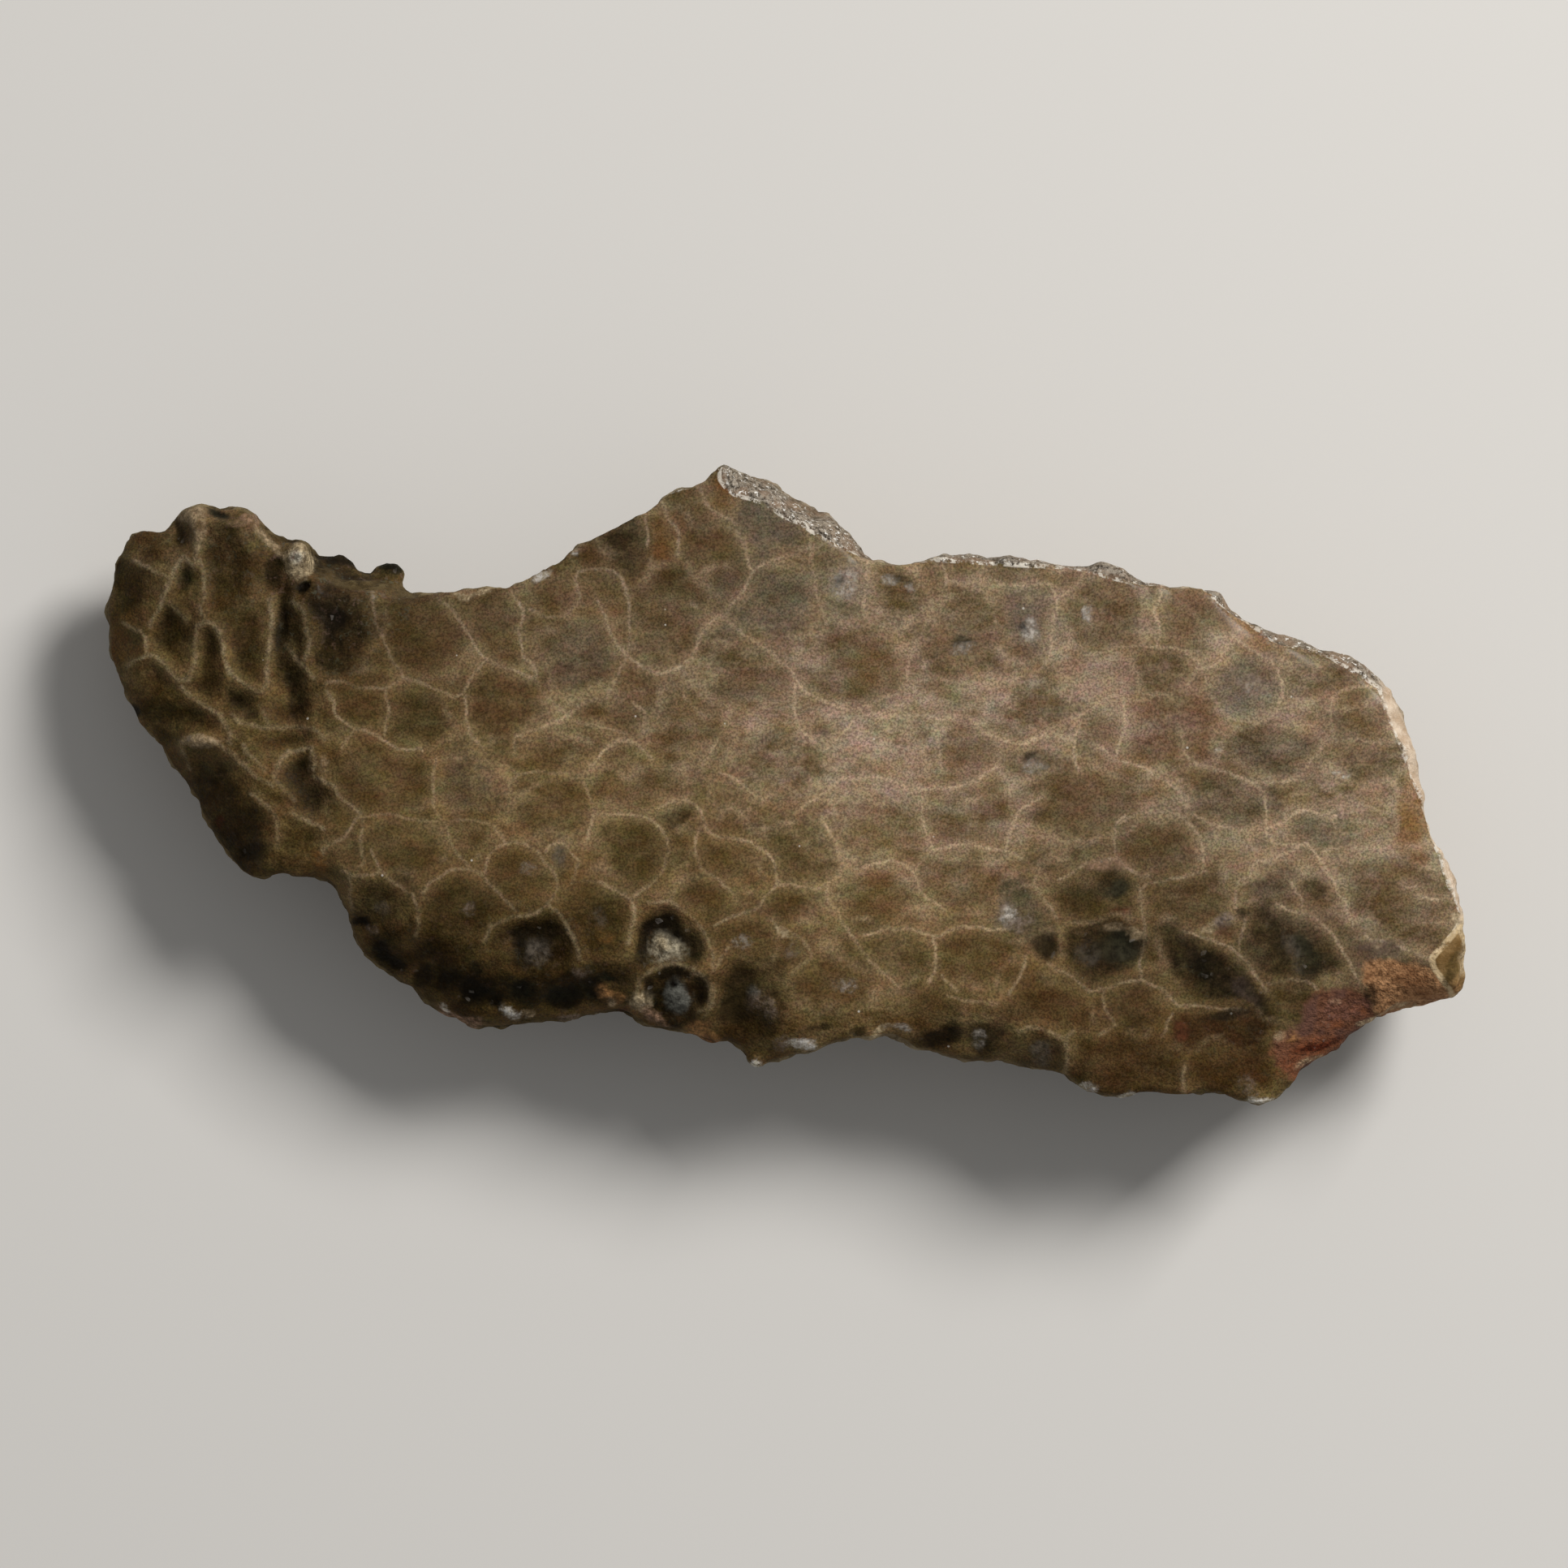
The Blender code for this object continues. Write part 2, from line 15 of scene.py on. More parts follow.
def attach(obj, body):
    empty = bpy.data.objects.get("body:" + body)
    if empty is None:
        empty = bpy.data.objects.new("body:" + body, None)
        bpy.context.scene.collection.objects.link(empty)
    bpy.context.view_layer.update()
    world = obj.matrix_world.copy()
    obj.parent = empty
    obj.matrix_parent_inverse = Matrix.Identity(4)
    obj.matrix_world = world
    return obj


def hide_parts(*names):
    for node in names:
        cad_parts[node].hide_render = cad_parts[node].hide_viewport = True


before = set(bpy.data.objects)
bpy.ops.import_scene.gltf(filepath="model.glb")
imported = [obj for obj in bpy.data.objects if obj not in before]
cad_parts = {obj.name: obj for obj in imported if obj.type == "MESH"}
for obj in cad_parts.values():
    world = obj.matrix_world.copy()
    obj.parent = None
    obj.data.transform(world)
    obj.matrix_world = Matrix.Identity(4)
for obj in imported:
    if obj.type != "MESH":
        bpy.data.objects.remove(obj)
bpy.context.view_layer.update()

# The stone
# One natural piece of fossil coral limestone, cut as a slab, broken along its sides and hand
# polished on its upper face. The pale lines are the walls between the coral's cells, and the
# lobe at the left end, the lower side and the back still have the coral's natural cups.

MM = 0.001
GRAIN = 0.52 * MM  # the size of the faces that the stone is rebuilt from
WELD_GAP = 0.01 * MM
PIXELS_TO_A_MM = 10.8
PHOTO_MIDDLE = 966  # in pixels, both across and down
MIDDLE_SHIFT = 0.1  # mm, how far the CAD model's middle lies from the photograph's


def paint(red, green, blue):
    """A colour as it looks on a screen, from 0 to 255, as the shader wants it."""
    shares = np.array((red, green, blue)) / 255
    linear = np.where(shares < 0.04045, shares / 12.92, ((shares + 0.055) / 1.055) ** 2.4)
    return (*(float(value) for value in linear), 1.0)


def read_line(text):
    """Places in the photograph, each written as x,y."""
    return [tuple(map(int, place.split(","))) for place in text.split()]


def read_walls(text):
    """The walls of the coral: how strongly each shows, and its line."""
    walls = []
    for word in text.split():
        if word in CLEARNESS:
            walls.append((CLEARNESS[word], []))
        else:
            walls[-1][1].extend(read_line(word))
    return walls


def read_tones(text):
    """Named colours, each as the shader wants it."""
    rows = (row.split() for row in text.split(","))
    return {name: np.array(paint(*map(int, shades))[:3]) for name, *shades in rows}


def read_ovals(text):
    """Ovals with their tones, how strongly each shows, and how far it rises in mm, if at all."""
    ovals = []
    for row in text.split(","):
        *oval, tone, strength, rise = (row.split() + ["0"])[:8]
        ovals.append(([float(value) for value in oval], TONES[tone], float(strength), float(rise)))
    return ovals


def to_mm(points):
    """Places in the photograph's pixels as x and y in millimetres on the stone."""
    points = np.asarray(points, float)
    across = (points[..., 0] - PHOTO_MIDDLE) / PIXELS_TO_A_MM - MIDDLE_SHIFT
    return np.stack((across, (PHOTO_MIDDLE - points[..., 1]) / PIXELS_TO_A_MM), axis=-1)


def in_space(rows):
    """Rows of x and y with a level of 0 beside them."""
    return np.column_stack((rows, np.zeros(len(rows))))


def smooth(value):
    """0 below 0, 1 above 1, and an S-shaped rise between."""
    value = np.clip(value, 0, 1)
    return value * value * (3 - 2 * value)


def lumps(points, size, seed):
    """Soft noise from about -1 to 1 whose lumps are about this many millimetres across."""
    shift = Vector((seed * 17.3, seed * 5.1, seed * 9.7))
    return np.array([noise.noise(Vector(point) / size + shift) for point in points]) * 2


def chips(points, size, seed):
    """Broken stone: 0 along the cracks between chips of this size, rising in their middles."""
    shift = Vector((seed * 3.7, seed * 11.9, seed * 7.3))
    near = [noise.voronoi(Vector(point) / size + shift)[0] for point in points]
    return np.array([gaps[1] - gaps[0] for gaps in near])


def drop_loose_crumbs(mesh):
    """Keeps only what is joined to the leftmost vertex: the stone itself."""
    shape = bmesh.new()
    shape.from_mesh(mesh)
    joined = set()
    waiting = [min(shape.verts, key=lambda vertex: vertex.co.x)]
    while waiting:
        vertex = waiting.pop()
        if vertex not in joined:
            joined.add(vertex)
            waiting += [edge.other_vert(vertex) for edge in vertex.link_edges]
    loose = [vertex for vertex in shape.verts if vertex not in joined]
    bmesh.ops.delete(shape, geom=loose, context="VERTS")
    shape.to_mesh(mesh)
    shape.free()


def add_object(name, data):
    made = bpy.data.objects.new(name, data)
    bpy.context.scene.collection.objects.link(made)
    return made


def even_faces(source, grain):
    """A copy of the CAD slab rebuilt from small faces of one size."""
    mesh = source.data.copy()
    slab = add_object("slab", mesh)
    weld = slab.modifiers.new("joined", "WELD")
    weld.merge_threshold = WELD_GAP
    remesh = slab.modifiers.new("even faces", "REMESH")
    remesh.mode = "VOXEL"
    remesh.voxel_size = grain
    remesh.use_smooth_shade = True
    bpy.context.view_layer.update()
    evaluated = slab.evaluated_get(bpy.context.evaluated_depsgraph_get())
    rebuilt = bpy.data.meshes.new_from_object(evaluated)
    bpy.data.objects.remove(slab)
    bpy.data.meshes.remove(mesh)
    drop_loose_crumbs(rebuilt)
    return rebuilt


def read_field(items, field, width, kind=np.float32):
    """One field of all vertices, edges, corners or faces, with a row for each."""
    values = np.empty(len(items) * width, kind)
    items.foreach_get(field, values)
    return values.reshape(-1, width)


def read_places(mesh):
    return read_field(mesh.vertices, "co", 3).astype(float) / MM


def read_normals(mesh):
    return read_field(mesh.vertex_normals, "vector", 3).astype(float)


def write_places(mesh, places):
    mesh.vertices.foreach_set("co", (places * MM).astype(np.float32).ravel())
    mesh.update()


def relax(values, share, rounds):
    """Draws each value towards its neighbours' mean, by this share, this many times."""
    one, other = edges[:, 0], edges[:, 1]
    count = np.bincount(edges.ravel(), minlength=len(values))
    for _ in range(rounds):
        total = np.bincount(one, values[other], len(values))
        total += np.bincount(other, values[one], len(values))
        values = values + share * (total / count - values)
    return values


def gap_to_run(points, start, run):
    """How far each point is from a straight run, in millimetres."""
    offset = points - start
    share = np.clip(offset @ run / (run @ run), 0, 1)
    return np.hypot(*(offset - share[:, None] * run).T)


def gap_to_line(points, line):
    """How far each point is from a line of straight runs, in millimetres."""
    line = to_mm(line)
    runs = line[1:] - line[:-1]
    return np.min([gap_to_run(points, start, run) for start, run in zip(line, runs)], axis=0)


def inside(points, outline):
    """Whether each point is inside the closed outline."""
    outline = to_mm(outline)
    within = np.zeros(len(points), bool)
    x, y = points[:, 0], points[:, 1]
    for (x1, y1), (x2, y2) in zip(outline, np.roll(outline, -1, axis=0)):
        if y1 != y2:
            crossed = (y1 > y) != (y2 > y)
            within ^= crossed & (x < (x2 - x1) * (y - y1) / (y2 - y1) + x1)
    return within


def depth_in(points, outline, line=None):
    """Millimetres from the outline, or from this open part of it, above 0 inside it."""
    gap = gap_to_line(points, line or [*outline, outline[0]])
    return np.where(inside(points, outline), gap, -gap)


def oval_size(oval):
    """The mean of an oval's half width and half height, in millimetres."""
    return math.sqrt(oval[2] * oval[3]) / PIXELS_TO_A_MM


def way_out(points, oval):
    """0 in the middle of an oval, 1 at its rim and more outside."""
    x, y, half_width, half_height, lean = oval
    offset = points - to_mm((x, y))
    turn = math.radians(lean)
    across = offset[:, 0] * math.cos(turn) + offset[:, 1] * math.sin(turn)
    up = offset[:, 1] * math.cos(turn) - offset[:, 0] * math.sin(turn)
    return np.hypot(across / half_width, up / half_height) * PIXELS_TO_A_MM


# Where the face is polished, clockwise from the left end of the bay
POLISHED = read_line("""
400,711 440,720 480,730 530,733 600,726 700,675 800,620 862,598 893,600 925,615 985,645 1040,675
1072,686 1200,690 1340,703 1430,719 1480,720 1520,755 1580,793 1640,810 1700,850 1730,930 1760,1010
1785,1090 1800,1130 1763,1178 1723,1172 1690,1185 1670,1215 1610,1225 1590,1262 1540,1275 1450,1290
1360,1272 1290,1255 1230,1238 1130,1236 1080,1242 985,1250 965,1200 950,1180 905,1178 880,1190 868,1140
830,1112 780,1116 740,1120 700,1120 640,1112 590,1140 540,1130 500,1110 460,1084 430,1080 400,1050
404,1000 418,940 402,900 404,850 398,780
""")
# The polished face's broken edge, from the right end of the bay round to the lower right corner
BROKEN_EDGE = read_line("""
640,712 680,684 740,650 800,614 850,598 876,572 888,570 886,590 893,600 905,610 925,615 945,622 965,637
985,645 1000,655 1020,666 1040,675 1060,683 1072,686 1100,692 1150,690 1200,693 1260,697 1320,699
1340,703 1360,710 1380,715 1400,718 1430,719 1460,721 1480,720 1500,740 1520,755 1540,768 1560,785
1580,793 1600,797 1620,803 1640,810 1660,822 1680,835 1700,847 1703,860 1710,880 1722,905 1730,930
1740,955 1750,980 1760,1010 1765,1035 1775,1055 1780,1075 1785,1090 1795,1110 1800,1125 1796,1142
1782,1160 1763,1180 1766,1194 1781,1213 1797,1233
""")
OUTSIDE_OF_EDGE = read_line("1950,1260 1950,400 620,400 620,700")
# Fresh breaks at the lower right corner
BRICK_BREAK = read_line("""
1570,1276 1584,1270 1606,1264 1603,1246 1612,1230 1625,1220 1650,1217 1675,1221 1688,1228 1693,1244
1712,1262 1690,1300 1640,1340 1612,1350 1592,1330 1580,1322 1572,1310 1565,1292
""")
ORANGE_BREAK = read_line("""
1680,1188 1700,1181 1730,1186 1760,1192 1783,1216 1797,1236 1790,1260 1735,1270 1712,1262 1693,1244
1688,1228 1680,1208
""")
CORNER_BREAK = read_line("""
1763,1180 1782,1160 1798,1141 1820,1140 1820,1240 1797,1236 1780,1212 1766,1194
""")

POLISH_FADE = 4.0  # mm, over which the polish wears off round the face
BREAK_FADE = 0.5  # mm, over which the face turns into its broken edge
LOBE_TIP = -73.5  # mm, where the tip of the lobe begins
GRINDING = 90  # rounds that even out the polished face
EASING = 10  # rounds that take the marks of the coarse solid off the rest

mesh = even_faces(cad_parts["petoskey_stone"], GRAIN)
edges = read_field(mesh.edges, "vertices", 2, np.int32)
places = read_places(mesh)
flat = places[:, :2].copy()
facing = relax(read_normals(mesh)[:, 2], 0.5, 12)  # 1 where the stone faces up, -1 down
on_top = smooth((facing - 0.2) / 0.4)
on_back = smooth((-facing - 0.35) / 0.4)
polished = smooth(0.5 + depth_in(flat, POLISHED) / POLISH_FADE) * on_top
edge_depth = depth_in(flat, BROKEN_EDGE + OUTSIDE_OF_EDGE, BROKEN_EDGE)
broken = smooth(0.5 + edge_depth / BREAK_FADE)

# The polished face is ground even, and the rest only loses the marks of the coarse solid
even = relax(places[:, 2], 0.8 * polished * (1 - broken), GRINDING)
places[:, 2] += relax(even, 0.7 * (1 - polished), EASING) - places[:, 2]
left_end = smooth((LOBE_TIP - flat[:, 0]) / 2)
for axis in (0, 1):
    places[:, axis] = relax(places[:, axis], 0.5 * np.maximum(1 - on_top, left_end), 14)

# The walls by region from left to right: how clearly each shows, then the places on its line
CLEARNESS = {"clear": 1.0, "soft": 0.78, "faint": 0.48}
WALLS = read_walls("""
clear 231,632 235,645 241,658 242,672 240,686 237,698
soft 237,698 245,690 249,705 250,722 249,738 246,750 250,760
clear 237,698 226,684 218,692 212,703 209,714 203,725 198,738
soft 161,690 175,697 188,702 199,708 206,712
soft 198,740 192,752 186,762 182,772
soft 207,742 215,750 222,758 228,765
soft 148,768 158,773 170,778 176,785 178,797 180,806
clear 155,820 165,812 180,806 190,809 200,817 208,828 217,836 230,837 235,828 238,815 239,800 239,785
  242,772 250,767 262,768 269,778 272,790 274,805 278,820 285,832 298,841 308,848 318,852
clear 333,738 334,755 334,775 332,795 329,815 328,830 329,842 322,852
soft 360,741 368,748 375,757 378,776 382,786 379,805 374,813
soft 352,795 360,806 368,816 379,827 386,836
clear 223,846 232,858 245,866 258,873 270,881 277,893 282,905 284,915
soft 285,880 300,892 320,896 345,896 365,895 385,897 392,903 400,911
faint 320,870 325,880 332,893
clear 221,915 232,911 245,911 258,911 268,916 280,925 293,937 303,945
soft 221,915 224,925 228,936 230,948
soft 299,917 303,928 312,933 320,940 324,950
soft 303,945 312,955 325,962 336,968
clear 338,958 342,944 348,933 357,927 372,924 383,922 387,928 388,938 386,947
clear 388,957 400,964 410,968 415,978 424,987 436,995 445,1004
soft 309,978 320,987 330,995 338,1003 342,1015 341,1030 340,1045
faint 339,962 348,970 355,978 362,985
soft 358,1002 368,1007 380,1012 392,1018 400,1022
soft 401,842 412,839 428,842 445,848 462,849 478,847 488,842 497,835 512,839 528,845 545,852 560,858
  570,855 576,845 582,832 590,822 600,813
soft 460,750 463,768 470,782 478,800 484,815 492,826 497,835
clear 403,852 411,865 414,880 424,890 434,897
soft 475,852 479,865 478,880 475,893 474,905
clear 438,898 452,901 465,906 478,915 490,922 505,923 515,922 520,926
soft 436,902 428,911 422,921
clear 445,1005 438,1012 431,1021 426,1031 415,1037 404,1042 396,1050 393,1062
soft 446,1008 447,1022 443,1037 447,1050 448,1062 440,1070
soft 458,1047 463,1058 467,1070 476,1080 488,1090 502,1099
soft 421,1074 432,1078 447,1079 460,1077 468,1074
soft 430,1080 431,1092 430,1105 434,1120
clear 540,738 550,745 562,758 573,772 580,783 586,797 593,807 602,815 615,820 630,825 645,831 656,835
clear 639,743 645,753 643,765 640,775 641,790 644,803 649,813 658,820 660,834
soft 655,752 668,759 682,761 695,759 705,752 713,743 715,736 711,727 709,715 712,705 725,702 742,700
  755,703 765,710 770,722 774,735 775,750 776,765 777,780 776,792
clear 737,742 744,756 748,770 755,783 762,797 772,808 783,815 793,823 803,829 815,830 828,827 840,821
  850,812 857,802 861,790 865,778 872,771 882,763 890,758
soft 796,632 797,645 798,658 797,672
clear 811,614 819,626 824,640 832,650 838,660 836,672 834,684
clear 862,602 870,620 881,632 893,638 902,641 908,648 910,658 915,668 919,676 921,687 924,696 928,703
soft 928,703 939,695 952,689 966,686
faint 966,686 980,684 992,688
faint 995,649 997,662 998,676 1000,690 1003,705 1006,725 1010,745 1018,768
clear 573,857 574,870 574,885 578,898 582,908 590,916
faint 660,838 668,853 678,862 690,874 700,882
faint 700,882 710,874 720,866 735,862 748,862
clear 637,906 650,903 662,899 675,893 690,887 700,881
soft 636,906 634,917 634,930
soft 537,935 535,950 534,965 534,990
faint 545,936 570,934 600,937 615,941 630,946 640,955
clear 728,945 735,936 745,926 752,918 763,912 775,913 787,919 797,928 804,936
soft 884,910 878,922 874,932 866,942
faint 843,858 852,868 860,878 868,885
soft 852,744 868,754 885,760 896,765 906,773 920,784 936,794 950,802 958,813 971,821 979,832 983,843
  993,853 1006,859 1022,867 1038,874 1052,874 1068,870 1082,864
soft 979,843 979,859 979,875 982,891 993,905 1006,915 1018,923 1028,915 1038,906 1049,891 1060,882
  1079,880 1100,880 1125,880 1143,884 1160,887 1176,883 1192,883 1203,891
clear 1203,891 1211,902 1222,906 1232,911 1251,916 1262,917 1273,912 1286,907 1303,907 1319,909
faint 1154,887 1153,902 1156,918 1158,937 1160,950
faint 1119,841 1141,837 1160,837 1187,841 1213,845 1240,840 1270,831
soft 1069,689 1069,705 1067,722 1065,735 1064,748
faint 1064,759 1073,766 1087,773 1098,778
soft 1160,686 1164,703 1165,719
faint 1165,715 1187,719 1208,713 1227,716 1248,721
soft 1212,700 1208,713
soft 1230,720 1257,722 1276,720 1294,720 1299,728 1302,737
faint 1149,740 1149,754 1143,767 1135,781 1125,794 1120,810
faint 1224,756 1227,767 1235,775 1240,784
soft 549,1012 552,1025 555,1037 563,1050 571,1060 580,1070
clear 521,1100 530,1089 542,1080 556,1073 570,1071 585,1073 597,1080 604,1090 612,1098 622,1108 632,1117
soft 597,1078 600,1065 604,1053 612,1045 622,1040 635,1038 648,1040 660,1046 668,1056 675,1066 683,1075
  687,1085 686,1097 680,1106 674,1113
soft 608,1016 616,1027 622,1037
soft 673,1050 679,1042 690,1038 698,1043 704,1052 713,1060
soft 733,1002 730,1013 726,1025 722,1040
clear 733,1001 748,1002 765,1004 780,1004 795,1006 806,1012 815,1022 822,1033
clear 812,995 825,988 842,985 856,990 864,1000 868,1012 869,1022 880,1028 893,1032 906,1033 917,1035
  928,1039 939,1048 947,1053 954,1062 956,1072 958,1086
soft 862,1020 857,1032 857,1045 859,1058 864,1070 874,1078 886,1084 892,1090 901,1099 908,1110
faint 843,1080 836,1090 830,1100 825,1111
clear 740,1087 752,1093 765,1100 777,1106 781,1118 780,1132 777,1148 774,1162
soft 674,1113 684,1121 693,1131 700,1143 706,1155 711,1168 714,1182
clear 853,1199 863,1200 870,1207 874,1218 876,1228 874,1241 863,1245
soft 885,952 900,956 912,965 923,973 933,981 941,986
soft 1036,961 1022,973 1009,982 995,989 987,996
clear 1038,958 1055,959 1071,958 1087,958 1100,962 1117,970 1135,973 1154,971 1173,970 1189,966 1203,962
  1216,951 1227,946
soft 1137,981 1135,1000 1137,1018 1143,1032 1149,1043
clear 1149,1047 1165,1045 1181,1040 1197,1039 1211,1043 1222,1047 1235,1047 1248,1051 1258,1058
soft 1256,998 1251,1011 1246,1022 1243,1032 1240,1043
soft 1014,1010 1022,1024 1028,1037 1033,1051 1036,1064 1036,1078 1022,1086 1018,1099 1022,1113 1033,1123
  1038,1137 1049,1151 1055,1161 1063,1172 1073,1185 1084,1196 1098,1207 1108,1215
soft 1036,1067 1057,1070 1079,1064 1100,1061 1114,1066 1123,1072 1131,1086 1134,1099 1143,1107 1154,1115
  1165,1121
soft 958,1088 950,1098 941,1107 936,1118 923,1123 904,1129 893,1134 880,1140
soft 958,1090 976,1090 993,1094 1009,1094 1021,1088
clear 951,1134 958,1142 960,1153
soft 960,1143 974,1148 987,1156 997,1167 1001,1177 995,1183 985,1191 976,1199
clear 1065,1153 1079,1149 1092,1144 1108,1144 1125,1145 1138,1149 1149,1153 1160,1153 1170,1146 1184,1142
  1200,1142 1219,1145 1238,1145
clear 1150,1156 1152,1172 1152,1188 1149,1202 1145,1210
soft 1160,1202 1170,1212 1180,1220
soft 1264,1178 1261,1192 1256,1203 1250,1213 1243,1223
soft 1168,1227 1184,1231 1197,1234 1211,1234 1227,1237
clear 1336,704 1331,715 1323,724 1311,731 1303,738 1301,753 1297,766 1296,782 1296,796 1293,809
clear 1431,721 1431,734 1425,745 1422,754 1425,763 1429,774 1428,785 1425,796
soft 1402,796 1424,797 1445,798 1459,801 1470,809 1478,817
faint 1476,820 1468,838 1461,850
soft 1480,823 1494,820 1502,815 1507,803 1513,790 1522,782 1527,774
soft 1521,782 1529,790 1542,801 1556,809 1567,817 1575,828 1580,842 1581,855 1576,866
soft 1585,801 1581,812 1577,823
soft 1316,885 1332,882 1346,874 1359,863 1373,856 1381,855
soft 1331,887 1330,898 1324,909 1323,928 1324,938 1330,949
clear 1385,871 1386,885 1386,896 1382,909 1378,922 1375,932
clear 1354,920 1362,925 1367,933 1378,937 1392,940 1402,944 1413,949 1427,957 1439,963
soft 1459,920 1460,928 1467,936 1474,942 1494,947 1513,952 1529,960 1545,965 1561,964 1580,965 1599,960
  1607,949 1615,938 1626,928 1628,920
soft 1545,966 1556,976 1560,987 1561,1000 1560,1014
faint 1567,897 1580,895 1604,893 1620,894
faint 1615,965 1607,973 1594,981
clear 1561,1021 1577,1015 1588,1007 1599,1000 1615,998 1628,1003 1645,1006
clear 1561,1022 1563,1030 1569,1038 1583,1041 1599,1040 1610,1041 1620,1049 1631,1063
clear 1548,1060 1564,1059 1577,1055 1588,1049 1599,1043
soft 1429,998 1445,1000 1456,1006 1467,1017 1478,1030 1482,1043 1483,1057 1482,1070
soft 1462,998 1478,1008 1499,1017 1521,1022 1540,1023 1558,1022
faint 1499,1017 1499,1038
clear 1625,1055 1629,1064 1635,1074 1643,1086 1648,1097 1656,1107 1659,1121 1662,1129 1667,1140
clear 1523,1119 1521,1105 1524,1092 1528,1086 1539,1080 1542,1068 1550,1061
soft 1592,1089 1597,1100 1602,1106 1607,1121
clear 1573,1116 1592,1122 1608,1126 1619,1130 1629,1139 1640,1150 1648,1161 1656,1173 1662,1186 1669,1199
  1675,1210
clear 1680,1151 1694,1159 1710,1162 1723,1166 1737,1173 1753,1178 1763,1181
clear 1459,1148 1472,1152 1488,1156 1502,1162 1515,1167 1526,1175 1537,1186 1546,1200 1553,1210 1561,1221
soft 1534,1132 1531,1148 1528,1160 1526,1173
soft 1562,1213 1575,1210 1592,1207 1605,1208 1618,1213 1624,1221
clear 1336,1064 1348,1061 1362,1060 1377,1059 1383,1068 1394,1073 1405,1078 1414,1079
soft 1303,1084 1316,1079 1327,1070 1336,1064
soft 1424,1086 1435,1085 1445,1082 1459,1080 1472,1076 1486,1073
soft 1230,1111 1238,1100 1251,1095 1265,1092 1274,1090 1277,1081
clear 1274,1090 1281,1100 1289,1111 1296,1120 1300,1130
clear 1405,1097 1406,1111 1408,1127 1410,1143 1410,1159 1408,1170 1405,1184 1405,1200 1405,1208
clear 1405,1208 1392,1209 1378,1212 1365,1217 1349,1221 1340,1221 1332,1212 1322,1204 1308,1197 1297,1192
  1292,1186
clear 1408,1208 1421,1214 1435,1222 1445,1233 1453,1240 1467,1240 1483,1241 1502,1243 1521,1244 1532,1245
soft 1445,1249 1439,1259 1436,1270 1432,1278
soft 1360,1218 1359,1232 1362,1243 1367,1253 1374,1262 1365,1270 1354,1275
clear 1292,1270 1305,1278 1313,1280 1315,1294 1315,1307 1313,1321
soft 1313,1280 1321,1272
soft 1254,1270 1270,1266 1286,1267 1295,1275
clear 1459,1315 1457,1329 1459,1342 1460,1350
soft 1643,857 1659,849 1672,846 1688,846 1699,847
faint 1664,1013 1680,1013 1699,1013
faint 1637,1002 1645,1018 1659,1029
faint 1672,989 1688,993 1699,998 1710,1000
soft 1629,1049 1651,1045 1662,1045 1680,1045 1699,1043
faint 1664,1059 1680,1057 1699,1052 1718,1051
clear 1730,1092 1745,1094
clear 1748,1103 1760,1107 1772,1110
soft 458,728 460,750
soft 632,730 636,740
soft 776,792 772,810 764,826 754,844 748,862
faint 699,883 716,892 744,897 772,903
faint 780,866 796,878 792,898
faint 590,916 600,930
faint 446,1008 460,1004 480,1004 500,1008 520,1012 540,1012
faint 549,1012 565,1010 585,1010 604,1015
faint 534,990 538,1002 549,1012
faint 628,966 640,955 660,950 700,954
faint 720,965 726,980 732,998
faint 713,1060 710,1075 704,1088
faint 704,1088 720,1086 740,1087
soft 822,1033 824,1050 816,1074 802,1090 781,1104
soft 800,1112 824,1110 850,1126 870,1150 878,1178 880,1196
soft 880,1196 888,1182 898,1168
soft 596,1162 604,1142 628,1130 660,1126 676,1114
soft 508,1100 514,1118 516,1136 512,1152
soft 928,703 918,724 904,744 892,757
faint 1082,864 1100,856 1119,841
faint 1120,810 1118,826 1119,841
faint 1293,809 1284,822 1270,831
faint 1340,806 1370,799 1402,796
soft 1383,838 1384,856 1385,871
soft 1284,980 1270,990 1256,998
faint 1149,1047 1138,1058 1128,1070 1132,1086
soft 1385,1005 1375,1015 1372,1035 1376,1058
soft 1376,1015 1395,1004 1412,1000 1429,998
soft 1405,1097 1412,1088 1424,1086
faint 1457,904 1459,920
soft 785,1220 789,1205 804,1194 828,1188 852,1192 870,1205 880,1222 877,1240 868,1253
faint 1576,866 1566,884 1544,892 1514,884 1492,858 1484,832
faint 1508,908 1506,922 1500,938 1494,947
faint 1643,857 1637,875 1640,895 1646,912
faint 1628,919 1646,912 1670,910 1700,915
soft 1439,963 1452,975 1462,988 1462,998
""")

RIDGE_RISE = 0.55  # mm, how high the walls stand where the coral isn't polished
RIDGE_WIDTH = 0.75  # mm
WALL_REACH = 1.9  # mm, how far from a wall its colour may show
WALL_WIDTH = 0.35  # mm
WALLS_AT_ONCE = 4  # walls that can show at one place


def wall_pieces():
    """Each straight piece of the walls: its start, its run to its end, and its strength."""
    starts, runs, strengths = [], [], []
    for strength, line in WALLS:
        line = to_mm(line)
        starts += list(line[:-1])
        runs += list(line[1:] - line[:-1])
        strengths += [strength] * (len(line) - 1)
    return np.array(starts), np.array(runs), np.array(strengths)


wall_starts, wall_runs, wall_strengths = wall_pieces()


def near_walls(points, reach):
    """For each wall piece, the points within reach and how far off they are."""
    for number, (start, run) in enumerate(zip(wall_starts, wall_runs)):
        middle = start + run / 2
        around = np.abs(run) / 2 + reach
        close = np.flatnonzero((np.abs(points - middle) < around).all(axis=1))
        gap = gap_to_run(points[close], start, run)
        yield number, close[gap < reach], gap[gap < reach]


